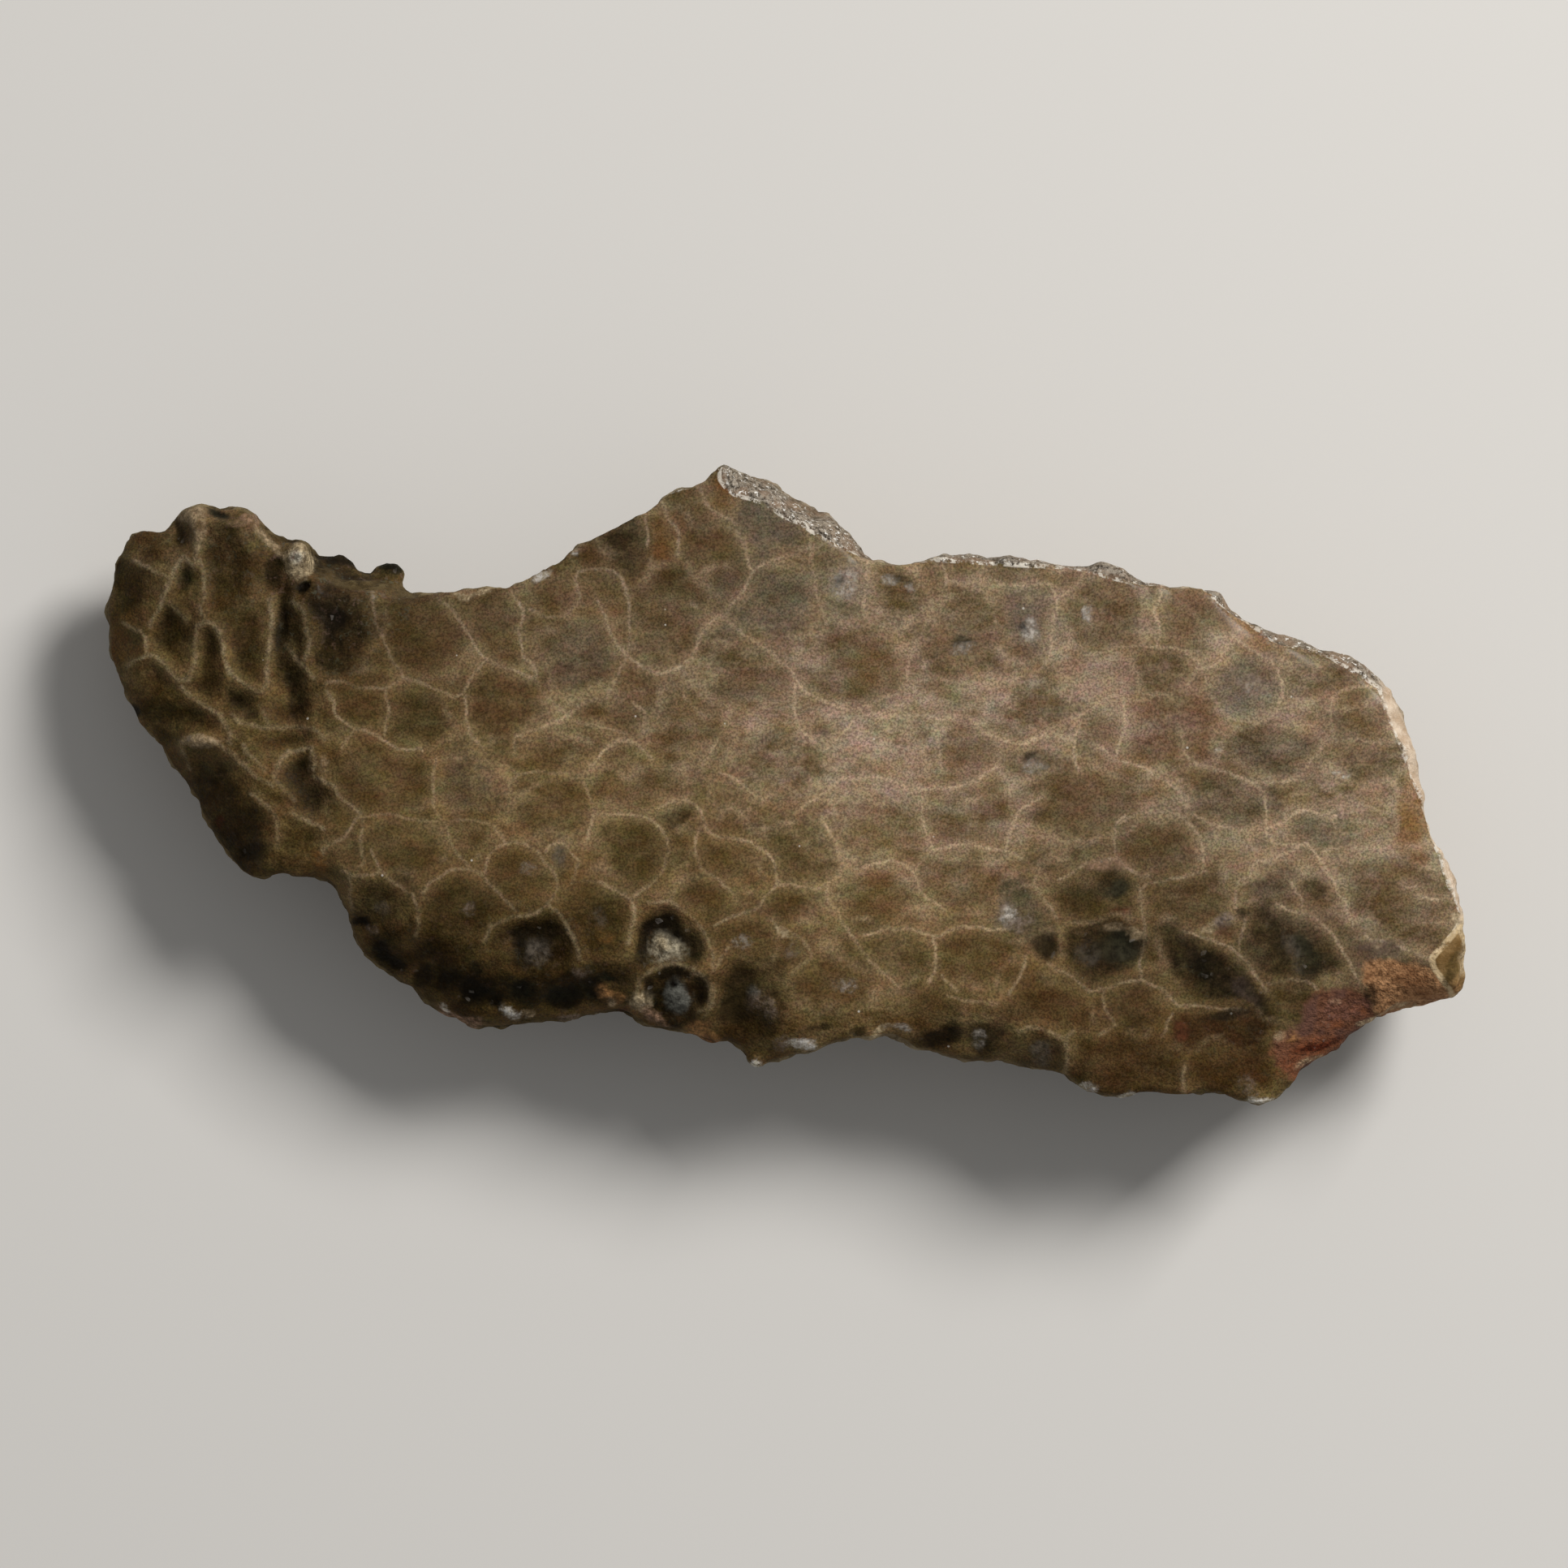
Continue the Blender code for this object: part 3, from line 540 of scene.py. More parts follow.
ridge = np.zeros(len(places))
for number, close, gap in near_walls(flat, 2 * RIDGE_WIDTH):
    height = wall_strengths[number] ** 0.5 * np.exp(-((gap / RIDGE_WIDTH) ** 2))
    ridge[close] = np.maximum(ridge[close], height)
wild = on_top * (1 - polished) * (1 - broken)
places[:, 2] += relax(RIDGE_RISE * ridge * wild, 0.5, 2)

# The tones of cells and marks: red, green and blue as they look on a screen
TONES = read_tones("""
brown 80 60 32, olive 68 56 26, dark 36 28 13, black 18 13 6, green 54 54 34, pitch 20 22 14,
orange 116 80 40, ochre 150 110 70, purple 84 70 62, grey 96 88 78, pink 140 112 92, pale 160 140 112,
cream 186 168 136, bone 156 147 126, steel 92 92 86, teal 48 45 32, dusty 126 88 76, umber 78 51 31,
ember 140 80 48, red 84 46 30, rust 70 28 14, lilac 124 109 98, blue 164 157 148, white 214 210 200
""")

# The cells, as ovals: middle, half width and half height in the photograph's pixels, lean in
# degrees, tone, and how strongly it shows
# The narrow dark cell beside the lobe lies along its deep groove; its dark tone is partly painted shade
CELLS = read_ovals("""
172 678 22 28 0 brown 0.5, 148 730 20 32 0 olive 0.75, 222 655 14 28 0 brown 0.4,
275 700 32 54 0 brown 0.7, 226 712 13 20 0 green 0.8, 205 780 27 42 0 olive 0.8,
152 790 20 34 0 orange 0.4, 255 810 17 42 0 olive 0.6, 302 790 25 54 0 olive 0.7,
325 695 14 30 0 dark 0.7, 355 775 16 70 0 dark 0.8, 380 775 12 50 0 olive 0.4, 195 838 22 20 0 brown 0.4,
215 882 52 18 -10 olive 0.8, 250 848 22 16 0 brown 0.4, 300 870 34 16 -35 dark 0.8,
340 880 16 22 0 brown 0.4, 370 855 16 30 0 dark 0.65, 350 912 24 20 0 brown 0.4,
255 965 48 42 -30 dark 0.6, 195 912 16 13 0 olive 0.4, 375 965 28 38 0 dark 0.8,
290 1035 40 48 10 dark 0.6, 370 1025 24 30 0 olive 0.5, 345 1065 26 16 0 olive 0.2,
420 775 40 62 0 dark 0.95, 440 870 36 28 0 brown 0.3, 525 880 47 38 0 olive 0.7,
520 775 55 52 0 brown 0.5, 600 760 42 40 0 brown 0.4, 680 735 32 24 0 brown 0.3,
740 715 32 24 0 brown 0.3, 730 678 20 16 0 brown 0.2, 775 665 28 34 0 dark 0.7,
820 665 24 36 0 orange 0.6, 870 660 38 48 0 brown 0.3, 888 605 20 22 0 orange 0.8,
945 645 42 38 0 grey 0.7, 820 760 42 62 0 brown 0.4, 705 808 46 42 0 purple 0.28,
620 865 56 42 0 brown 0.6, 935 740 62 50 0 grey 0.4, 1035 725 36 36 0 grey 0.3,
1110 730 36 36 0 brown 0.3, 925 832 62 46 0 brown 0.4, 1060 825 62 48 0 brown 0.5,
1180 702 40 18 0 brown 0.2, 1185 790 50 54 0 brown 0.4, 1250 706 30 18 0 brown 0.2,
1267 765 40 42 0 grey 0.4, 1355 755 58 48 0 brown 0.4, 1470 760 48 40 0 brown 0.4,
1550 788 34 16 -30 orange 0.5, 1340 840 50 36 0 pink 0.4, 1430 828 52 32 0 brown 0.5,
1535 846 46 40 0 grey 0.45, 1640 830 56 38 0 brown 0.4, 1680 885 40 24 0 brown 0.3,
1440 900 58 42 0 red 0.3, 1355 900 28 32 0 brown 0.3, 1580 925 64 30 0 dark 0.35,
1680 930 40 26 0 brown 0.4, 1520 985 58 32 0 dark 0.35, 1630 1022 40 24 0 green 0.3,
1690 1000 24 40 0 pale 0.1, 1738 1000 24 44 0 orange 0.55, 1745 1048 22 18 0 orange 0.5,
1275 945 46 34 0 brown 0.4, 1190 930 46 38 0 brown 0.3, 1165 860 48 26 0 pale 0.1,
1290 860 34 34 0 brown 0.3, 1060 910 62 36 0 pale 0.1, 1010 900 24 24 0 brown 0.3,
460 955 64 48 0 brown 0.4, 580 965 40 36 0 purple 0.5, 690 1000 52 38 0 brown 0.6,
580 1030 28 32 0 brown 0.3, 500 1045 52 48 0 olive 0.4, 430 1055 20 20 0 olive 0.4,
470 1110 42 32 0 dark 0.5, 640 1075 42 36 0 brown 0.4, 688 1055 19 20 0 grey 0.3,
570 1115 54 40 0 olive 0.5, 785 1045 52 42 0 olive 0.7, 840 1005 25 16 0 dark 0.6,
740 1125 40 42 0 olive 0.5, 665 1165 48 36 0 dark 0.8, 555 1175 50 24 0 dark 0.5,
475 1165 48 22 -35 dark 0.7, 590 1212 62 26 -12 dark 0.8, 690 1215 62 26 0 dark 0.8,
760 1195 40 20 0 dark 0.7, 822 1160 48 42 0 dark 0.9, 832 1225 46 30 0 dark 0.9,
680 925 42 32 0 brown 0.3, 620 920 22 22 0 brown 0.3, 765 930 34 26 0 brown 0.3,
740 885 46 24 0 brown 0.3, 785 850 33 24 0 brown 0.3, 845 890 40 46 0 brown 0.3,
785 970 54 28 0 brown 0.3, 855 965 24 36 0 brown 0.3, 890 935 22 24 0 brown 0.3,
945 940 70 32 0 olive 0.14, 900 982 40 26 0 brown 0.3, 950 1003 50 18 0 brown 0.4,
985 1045 46 42 0 olive 0.6, 900 1050 46 38 0 brown 0.4, 870 1108 38 28 0 brown 0.4,
965 1110 48 26 0 brown 0.4, 910 1155 42 30 0 brown 0.4, 975 1165 24 28 0 brown 0.4,
925 1230 46 54 0 dark 0.7, 1040 1215 48 40 0 brown 0.4, 1085 1100 42 38 0 brown 0.4,
1070 1030 56 34 0 brown 0.4, 1075 980 50 28 0 pink 0.1, 1185 1090 56 36 0 brown 0.4,
1190 1015 56 32 0 brown 0.3, 1190 965 46 20 0 brown 0.2, 1090 1175 52 36 0 olive 0.5,
1200 1165 50 42 0 brown 0.4, 1330 985 80 40 0 brown 0.5, 1355 1048 40 18 0 brown 0.4,
1430 1045 50 42 0 brown 0.5, 1530 1045 46 32 0 pale 0.2, 1265 1125 36 32 0 grey 0.6,
1287 1165 18 20 0 dark 0.7, 1360 1092 60 36 0 olive 0.5, 1362 1170 48 40 0 dark 0.8,
1460 1110 56 36 0 brown 0.5, 1490 1195 80 34 -35 dark 1, 1595 1165 66 46 -20 dark 0.8,
1580 1095 30 26 0 purple 0.4, 1622 1098 24 30 0 brown 0.4, 1720 1105 60 50 0 brown 0.4,
1730 1170 50 20 0 brown 0.4, 1680 1180 36 26 0 purple 0.6, 1590 1235 40 30 0 olive 0.5,
1398 1237 42 28 0 umber 0.5, 1505 1265 60 26 0 umber 0.9, 1290 1240 62 34 0 umber 0.5,
1285 1295 34 24 0 grey 0.5, 1385 1305 72 42 0 umber 0.6, 1510 1315 56 28 0 umber 0.6,
1545 1345 36 18 0 pale 0.3, 1150 1235 50 36 0 olive 0.5, 1160 1280 34 22 0 dark 0.8,
1215 1280 30 24 0 dark 0.7, 1000 1270 40 24 0 brown 0.4
""")

# Crystals, crumbs and dark hollows: as the cells, then in mm how far some stand up or lie deep. The dark
# hollows are partly the stone's own dark colour and partly painted shade in its pits, its grooves and
# the bay, and some pale marks on rims, ridges and bumps are painted glints and highlights
MARKS = read_ovals("""
232 630 22 8 15 pale 0.7 0.2, 335 668 27 7 -50 pale 0.75 0.3, 250 914 30 7 0 pale 0.9 0.2,
243 655 6 24 -8 pale 0.6 0.1, 215 650 8 22 20 dark 0.6 -0.3, 366 690 20 24 0 cream 0.95 0.25,
364 684 9 10 0 white 0.5, 375 726 11 9 0 black 1 -0.8, 300 640 27 9 0 pink 0.65 0.3,
267 628 12 6 0 pitch 0.9 -0.6, 166 875 7 10 0 black 0.9 -0.3, 405 757 22 20 0 black 0.7 -0.2,
350 770 9 30 0 black 0.55 -0.4, 370 848 24 28 0 black 0.35 -0.3, 312 1048 22 12 0 black 0.6 -0.4,
272 1012 8 8 0 rust 0.6, 386 932 5 20 -12 pale 0.5 0.2, 404 948 5 20 -12 pale 0.5 0.2,
396 1061 8 14 0 orange 0.8, 467 785 7 7 0 pink 0.5, 425 690 34 14 0 black 0.9, 478 694 22 16 0 pitch 0.9,
440 1135 13 10 0 black 0.9 -0.4, 452 1148 9 6 0 lilac 0.6 0.2, 467 1170 17 12 -30 black 0.8 -0.3,
490 1186 17 10 -30 black 0.8 -0.3, 522 1208 12 17 10 black 0.8 -0.3, 556 1206 15 10 0 black 0.7 -0.2,
585 1222 18 22 20 black 0.85 -0.4, 614 1240 16 13 0 black 0.85 -0.3, 648 1216 14 12 0 black 0.7 -0.2,
690 1228 22 16 0 black 0.8 -0.3, 728 1218 14 14 0 black 0.7 -0.2, 505 1225 20 9 -35 olive 0.6 0.2,
587 1188 12 9 0 pitch 0.7 -0.2, 640 1190 14 9 0 black 0.5, 565 1254 28 10 -15 pink 1 0.2,
551 1242 7 5 0 white 0.7 0.1, 632 1254 10 8 0 white 0.8 0.3, 652 1248 8 6 0 pale 0.8 0.1,
705 1252 12 5 0 lilac 0.6 0.1, 740 1251 8 5 0 pale 0.8 0.2, 715 1198 18 7 0 lilac 0.4,
750 1206 15 7 0 pitch 0.8 -0.2, 744 1224 12 8 0 ochre 1 0.3, 762 1229 9 7 0 ochre 1 0.3,
752 1233 6 5 0 pale 0.9 0.1, 789 1236 16 14 20 cream 1 0.5, 800 1251 14 11 -30 pink 0.85 0.2,
812 1256 12 8 -30 pink 0.9 0.2, 765 1246 10 6 0 rust 0.6 -0.1, 866 1271 24 12 -25 ochre 0.9 0.2,
872 1279 8 6 0 rust 0.6, 658 1152 32 15 0 black 0.65 -0.2, 634 1164 10 18 10 black 0.6 -0.2,
665 1174 19 17 0 grey 0.6 0.4, 822 1144 34 15 0 black 0.85 -0.3, 788 1168 10 26 0 black 0.6 -0.2,
857 1165 10 26 0 black 0.55 -0.2, 822 1170 22 18 15 bone 0.95 0.5, 817 1166 10 9 0 cream 0.6 0.1,
833 1202 30 10 0 black 0.85 -0.3, 652 1220 68 14 0 pitch 0.5, 1508 1254 38 7 4 black 0.55,
797 1218 9 20 10 black 0.8 -0.3, 868 1222 10 22 0 black 0.7 -0.3, 834 1228 17 15 0 steel 0.95 0.4,
831 1217 7 6 0 black 1 -0.3, 912 1212 26 28 10 dark 0.6 -0.3, 905 1245 18 16 0 dark 0.6 -0.2,
1004 1268 17 7 0 dark 0.8, 1056 1268 14 6 0 dark 0.8, 940 1240 14 20 20 lilac 0.5 0.4,
932 1222 8 7 0 steel 0.6 0.1, 912 1160 12 11 0 blue 0.45, 1248 1104 24 15 -10 green 0.6,
1248 1132 24 10 -38 lilac 0.8 0.1, 1243 1128 9 6 -20 white 0.5, 1272 1130 9 9 0 lilac 0.6,
1284 1165 17 19 0 dark 0.9, 1284 1294 17 16 -30 grey 0.7 0.1, 1206 1283 9 13 0 blue 0.65 0.1,
1162 1281 26 15 0 black 0.7 -0.2, 740 1130 12 13 0 grey 0.5, 577 1122 13 12 0 lilac 0.5,
1043 1216 17 13 0 blue 0.5, 966 1150 15 6 -35 cream 0.6, 975 1172 13 9 0 lilac 0.6,
645 1075 12 11 0 blue 0.35, 1364 1068 38 9 -4 pink 0.8, 1370 1090 24 15 0 pitch 0.6,
1374 1092 12 8 0 teal 0.8, 1384 1119 16 7 -15 red 0.7, 1335 1100 16 14 0 dark 0.4,
1362 1172 40 25 0 black 0.5, 1338 1178 14 12 0 grey 0.3, 1388 1162 24 20 0 pitch 0.7 -0.2,
1374 1174 24 12 0 teal 0.7, 1400 1149 8 8 0 pale 0.75, 1376 1144 12 5 0 pale 0.6,
475 1120 13 12 0 grey 0.5, 745 1150 11 8 0 orange 0.5, 1036 716 18 20 -20 blue 0.7,
1030 710 7 7 0 pitch 0.7, 1112 712 18 9 10 pitch 0.6, 1097 718 11 9 0 blue 0.75,
1122 722 10 6 0 blue 0.6, 1270 773 13 16 0 blue 0.95, 1258 768 6 7 0 black 0.7, 1183 790 17 8 0 teal 0.8,
1188 801 17 8 0 blue 0.6, 1345 757 8 10 20 blue 0.95, 1651 957 12 3 -12 white 1,
1266 937 9 5 10 black 0.8 -0.2, 1276 946 19 17 0 teal 0.4, 1272 951 19 9 10 blue 0.55,
1183 934 9 9 0 green 0.5, 1012 900 9 8 0 purple 0.7, 1500 925 5 6 0 white 0.5, 688 1055 12 14 0 grey 0.6,
1536 843 17 10 0 lilac 0.75, 1538 856 11 6 -10 blue 0.5, 1511 1136 12 9 0 lilac 0.95 0.2,
1532 1126 10 10 0 black 0.7 -0.1, 1512 1151 13 9 0 rust 0.5 -0.2, 1495 1145 9 6 0 cream 0.8 0.1,
1478 1166 30 14 -30 black 0.4, 1492 1196 56 18 -38 black 0.5, 1535 1222 22 14 -45 purple 0.5,
1548 1225 26 12 -60 black 0.6, 1612 1182 18 24 10 pitch 0.7 -0.1, 1604 1164 14 14 10 teal 0.8,
1572 1158 12 30 20 dark 0.6, 1591 1168 9 26 15 grey 0.35, 1618 1096 15 15 0 dark 0.6,
1578 1092 11 10 0 dark 0.55, 1456 1270 12 10 0 red 0.7, 1515 1253 30 7 8 black 0.5 -0.1,
1540 1270 26 12 0 dark 0.5, 1562 1240 14 22 -10 black 0.45, 1702 1170 34 10 -8 purple 0.7,
1688 1227 11 12 0 black 0.7, 1650 1246 34 18 12 dusty 0.6, 1612 1298 42 20 32 ember 0.5,
1627 1290 32 8 26 rust 0.9, 1645 1235 9 5 0 pale 0.35, 1574 1284 9 7 0 cream 0.75,
1588 1282 14 9 30 ochre 0.6, 1700 1170 6 4 0 pale 0.5, 1537 1338 15 19 35 lilac 0.55 0.2,
1556 1359 20 7 5 white 0.8 0.2, 665 706 14 6 35 white 0.85 0.1, 585 728 22 5 0 cream 0.7,
706 675 8 5 0 white 0.6, 931 1315 11 7 40 white 0.95 0.3, 965 1285 13 11 0 lilac 0.7 0.1,
990 1291 16 7 -25 white 0.8 0.1, 1337 1346 10 6 0 white 0.9 0.1, 1388 1350 12 6 15 white 0.95 0.1,
1086 1274 15 5 15 cream 0.7, 1111 1268 11 6 0 blue 0.8, 1803 1165 8 32 -5 cream 0.9 0.1,
1797 1140 8 12 20 cream 0.8 0.1, 1785 1188 24 9 68 olive 0.7 -0.4, 1795 1214 9 14 10 ochre 0.7 0.1,
1622 1312 20 4 30 pale 0.9, 1686 1258 18 4 30 cream 0.9, 1735 1243 34 4 12 pale 0.9,
1787 1234 16 4 6 cream 0.9
""")

CELL_BLEED = 1.3  # how far past its rim a cell's tone reaches, 1 at the rim
STAIN_STRAY = 1.1  # mm, how far the stains stray from true ovals

strayed = flat + STAIN_STRAY * np.column_stack([lumps(in_space(flat), 3.6, n) for n in (1, 2)])
stain = np.zeros((len(places), 3))
stain_weight = np.full(len(places), 1e-6)
stain_amount = np.zeros(len(places))
for oval, tone, strength, _ in CELLS:
    weight = strength**0.6 * smooth((CELL_BLEED - way_out(strayed, oval)) / 0.6)
    stain += (weight**2)[:, None] * tone
    stain_weight += weight**2
    stain_amount = np.maximum(stain_amount, weight)
stain /= stain_weight[:, None]
mark = np.zeros((len(places), 3))
mark_amount = np.zeros(len(places))
for oval, tone, strength, rise in MARKS:
    out = way_out(flat + 0.5 * (strayed - flat), oval)
    weight = strength * smooth((1.4 - out) / 0.8)
    total = weight + mark_amount * (1 - weight)
    blend = weight / np.maximum(total, 1e-6)
    mark += blend[:, None] * (tone - mark)
    mark_amount = total
    places[:, 2] += rise * smooth(1.3 - out) * on_top

# Between cells whose wall can't be read in the photograph, a faint border lies midway
BORDER_WIDTH = 0.45  # mm
WALL_ROOM = 0.9  # mm, how far borders keep from the walls
beyond = np.full((2, len(places)), 10.0)
for oval, *_ in CELLS:
    gap = (way_out(strayed, oval) - 1) * oval_size(oval)
    beyond = np.sort(np.vstack((beyond, gap)), axis=0)[:2]
from_wall = np.full(len(places), WALL_REACH)
for _, close, gap in near_walls(flat, WALL_REACH):
    from_wall[close] = np.minimum(from_wall[close], gap)
border = np.exp(-(((beyond[1] - beyond[0]) / 2 / BORDER_WIDTH) ** 2))
border = border * smooth(1.6 - beyond[0] / 1.2)
border *= smooth((from_wall - WALL_ROOM) / 0.9) * polished

# Where the face is lighter or darker over a wide area: place and share of its full lightness. This is
# partly the stone's own tone and partly painted light: painted shade where the face rolls away from the
# lamp at the lobe, the lower edge and the bay, and a painted sheen across the middle
BROAD_TONE_AND_PAINTED_SHADE = """
180 690 0.51, 280 760 0.51, 230 960 0.36, 250 890 0.64, 350 1040 0.38, 430 790 0.32, 470 1000 0.78,
520 860 0.76, 560 1190 0.36, 640 1240 0.32, 660 780 0.7, 700 700 0.6, 550 790 0.58, 680 960 0.92,
700 900 1, 700 1200 0.36, 800 680 0.66, 820 850 1, 850 1080 0.82, 900 1220 0.44, 960 720 0.92,
1010 900 1.24, 1020 1200 0.78, 1080 1010 1.3, 1160 1000 1.36, 1200 760 1.08, 1180 920 1.32,
1180 1180 0.86, 1290 1250 0.54, 1320 870 1.24, 1340 1020 0.96, 1420 1290 0.47, 1480 780 1.08,
1480 1180 0.4, 1520 900 1.06, 1520 1050 1.04, 1600 1180 0.41, 1610 1085 1.1, 1640 860 1.12,
1650 1060 1.24, 1730 960 1.12, 1740 1130 0.94, 1560 1320 0.48, 440 680 0.24, 960 560 1, 1300 640 1,
868 640 0.58, 1360 1130 0.5, 1440 1110 0.72
"""
SPREAD = 9.0  # mm, how far each of them reaches
total = np.zeros(len(places))
tone_with_shade = np.zeros(len(places))
for row in BROAD_TONE_AND_PAINTED_SHADE.split(","):
    x, y, share = map(float, row.split())
    pull = np.exp(-(((flat - to_mm((x, y))) ** 2).sum(axis=1)) / SPREAD**2) + 1e-9
    total += pull
    tone_with_shade += pull * share
tone_with_shade /= total
# Past a leaning line it turns yellower towards its lower left end
YELLOW_LINE = 9.5  # mm, where the line crosses the middle
YELLOW_FADE = 22  # mm
yellow = smooth((YELLOW_LINE - flat[:, 1] - 0.37 * flat[:, 0]) / YELLOW_FADE)

# The broken edge and sides, with the coral's columns standing upright in them
ROUGHNESS = 0.8  # mm, how far their rock stands out and in
UPRIGHT, SIDEWAYS = 0.22, 0.5  # its columns and ledges are stretched by 1 over these
SKIN_PITS = 0.05  # mm, the fine pits in the natural skin of the lobe and the cups
on_side = (1 - on_top) * (1 - on_back)
rough = np.clip(on_side + broken * on_top, 0, 1)
normals = read_normals(mesh)
columns = lumps(places * (1, 1, UPRIGHT), 2.6, 4)
ledges = lumps(places * (SIDEWAYS, SIDEWAYS, 1), 1.9, 5)
swell = 0.34 * columns + 0.2 * ledges
swell += 0.16 * lumps(places, 1.1, 6) + 0.3 * (chips(places, 1.6, 7) - 0.3)
places += (ROUGHNESS * rough * swell)[:, None] * normals
places[:, 2] += wild * SKIN_PITS * lumps(places, 1.8, 8)

# The back has shallow cups hollowed into it, and the stone rests on the low walls between them
BACK_CUP_SIZE = 8.6  # mm
BACK_CUP_DEPTH = 0.55  # mm
BACK_PIT_DEPTH = 0.12  # mm
back_wall = chips(in_space(flat + 1.6 * (strayed - flat)), BACK_CUP_SIZE, 10)
back_pits = np.clip(lumps(places, 1.4, 11), 0, 1)
cup = smooth(back_wall / 0.5)
places[:, 2] += on_back * (BACK_CUP_DEPTH * cup + BACK_PIT_DEPTH * back_pits)
write_places(mesh, places)

# What the material reads from the mesh
PALE_RIM_START = 1695  # in the photograph, where the broken edge turns smooth and pale
DEEPEST = 3  # mm, as far from its outline as a break is measured
FAR_OFF = 1000.0  # mm, where a wall starts that isn't there
MARKS_REACH_DOWN_TO = 8.5  # mm above the floor
BREAKS_REACH_DOWN_TO = 11
hollows = np.zeros(len(places))  # mm below the surface around, under 0 on bumps
normals = read_normals(mesh)
for axis in range(3):
    hollows += (relax(places[:, axis], 1.0, 8) - places[:, axis]) * normals[:, axis]


def give(name, values, domain="POINT"):
    """Stores numbers, vectors or colours on the mesh for the material."""
    kind, field = {
        1: ("FLOAT", "value"), 3: ("FLOAT_VECTOR", "vector"), 4: ("FLOAT_COLOR", "color")
    }[values.size // len(values)]
    layer = mesh.attributes.new(name, kind, domain)
    layer.data.foreach_set(field, np.ascontiguousarray(values, np.float32).ravel())


opaque = np.ones(len(places))
marks_reach = smooth((facing + 0.25) / 0.3) * smooth((places[:, 2] - MARKS_REACH_DOWN_TO) / 4)
breaks_reach = smooth((facing + 0.3) / 0.3) * smooth((places[:, 2] - BREAKS_REACH_DOWN_TO) / 3)
for name, values in {
    "stain": np.column_stack((stain, opaque)),
    "stain amount": stain_amount,
    "mark": np.column_stack((mark, opaque)),
    "mark amount": mark_amount * marks_reach,
    "border": border,
    "tone_with_shade": tone_with_shade,
    "yellow": yellow,
    "polished": polished,
    "on top": on_top,
    "fresh": breaks_reach,
    "on back": on_back,
    "back wall": back_wall,
    "hollow": hollows,
    "smooth edge": smooth((flat[:, 0] - to_mm((PALE_RIM_START, 0))[0]) / 1.5),
    "edge depth": np.clip(edge_depth, -DEEPEST, DEEPEST),
    "brick depth": np.clip(depth_in(flat, BRICK_BREAK), -DEEPEST, DEEPEST),
    "orange depth": np.clip(depth_in(flat, ORANGE_BREAK), -DEEPEST, DEEPEST),
    "corner depth": np.clip(depth_in(flat, CORNER_BREAK), -DEEPEST, DEEPEST),
}.items():
    give(name, values)

corners = read_field(mesh.loops, "vertex_index", 1, np.int32).ravel()
first = read_field(mesh.polygons, "loop_start", 1, np.int32).ravel()
counts = read_field(mesh.polygons, "loop_total", 1, np.int32)
face_middles = np.add.reduceat(flat[corners], first, axis=0) / counts

# Each face knows the walls nearest to it, so that the material can draw them sharply
found = [(close, np.full(len(close), number), gap)
         for number, close, gap in near_walls(face_middles, WALL_REACH)]
face, piece, gap = (np.concatenate(column) for column in zip(*found))
order = np.lexsort((gap, face))
face, piece = face[order], piece[order]
rank = np.arange(len(face)) - np.searchsorted(face, face)
for slot in range(WALLS_AT_ONCE):
    chosen = rank == slot
    at, near = face[chosen], piece[chosen]
    start = np.full((len(face_middles), 3), FAR_OFF)
    run = np.tile((1.0, 0.0, 0.0), (len(face_middles), 1))
    facts = np.tile((0.0, 1.0, 0.0), (len(face_middles), 1))
    start[at] = in_space(wall_starts[near])
    run[at] = in_space(wall_runs[near])
    facts[at, 0] = wall_strengths[near]
    facts[at, 1] = 1 / (wall_runs[near] ** 2).sum(axis=1)
    for name, values in (("start", start), ("run", run), ("facts", facts)):
        give(f"wall {slot} {name}", values, "FACE")

away = np.full(len(face_middles), np.inf)
nearest_cell = np.zeros((len(face_middles), 3))
for oval, *_ in CELLS:
    middle = to_mm(oval[:2])
    out = np.hypot(*(face_middles - middle).T) / oval_size(oval)
    nearer = out < away
    away[nearer] = out[nearer]
    nearest_cell[nearer] = (*middle, 0)
give("cell middle", nearest_cell, "FACE")

mesh.name = "polished_stone"
stone = add_object("polished_stone", mesh)
mesh.shade_smooth()


class Wire:
    """One output of a shader node. Arithmetic with it adds Math nodes to the material."""

    tree = None

    def __init__(self, socket):
        self.socket = socket

    @classmethod
    def node(cls, kind, settings=None, sockets=None, output=0):
        """Adds a node of this kind, sets it up, then fills its sockets with values or wires."""
        made = cls.tree.nodes.new(kind)
        for name, value in (settings or {}).items():
            setattr(made, name, value)
        for name, value in (sockets or {}).items():
            if isinstance(value, Wire):
                cls.tree.links.new(value.socket, made.inputs[name])
            else:
                made.inputs[name].default_value = value
        return cls(made.outputs[output])

    @classmethod
    def sum(cls, operation, *values):
        return cls.node("ShaderNodeMath", {"operation": operation}, dict(enumerate(values)))

    def __add__(self, other):
        return Wire.sum("ADD", self, other)

    def __sub__(self, other):
        return Wire.sum("SUBTRACT", self, other)

    def __rsub__(self, other):
        return Wire.sum("SUBTRACT", other, self)

    def __mul__(self, other):
        return Wire.sum("MULTIPLY", self, other)

    def __truediv__(self, other):
        return Wire.sum("DIVIDE", self, other)

    def __pow__(self, other):
        return Wire.sum("POWER", self, other)

    __radd__ = __add__
    __rmul__ = __mul__


def greater(one, other):
    return Wire.sum("MAXIMUM", one, other)


def ramp(value, low, high):
    """0 where the value is at low, 1 where it is at high, with soft ends."""
    return Wire.node(
        "ShaderNodeMapRange",
        {"interpolation_type": "SMOOTHSTEP"},
        {"Value": value, "From Min": low, "From Max": high},
    )


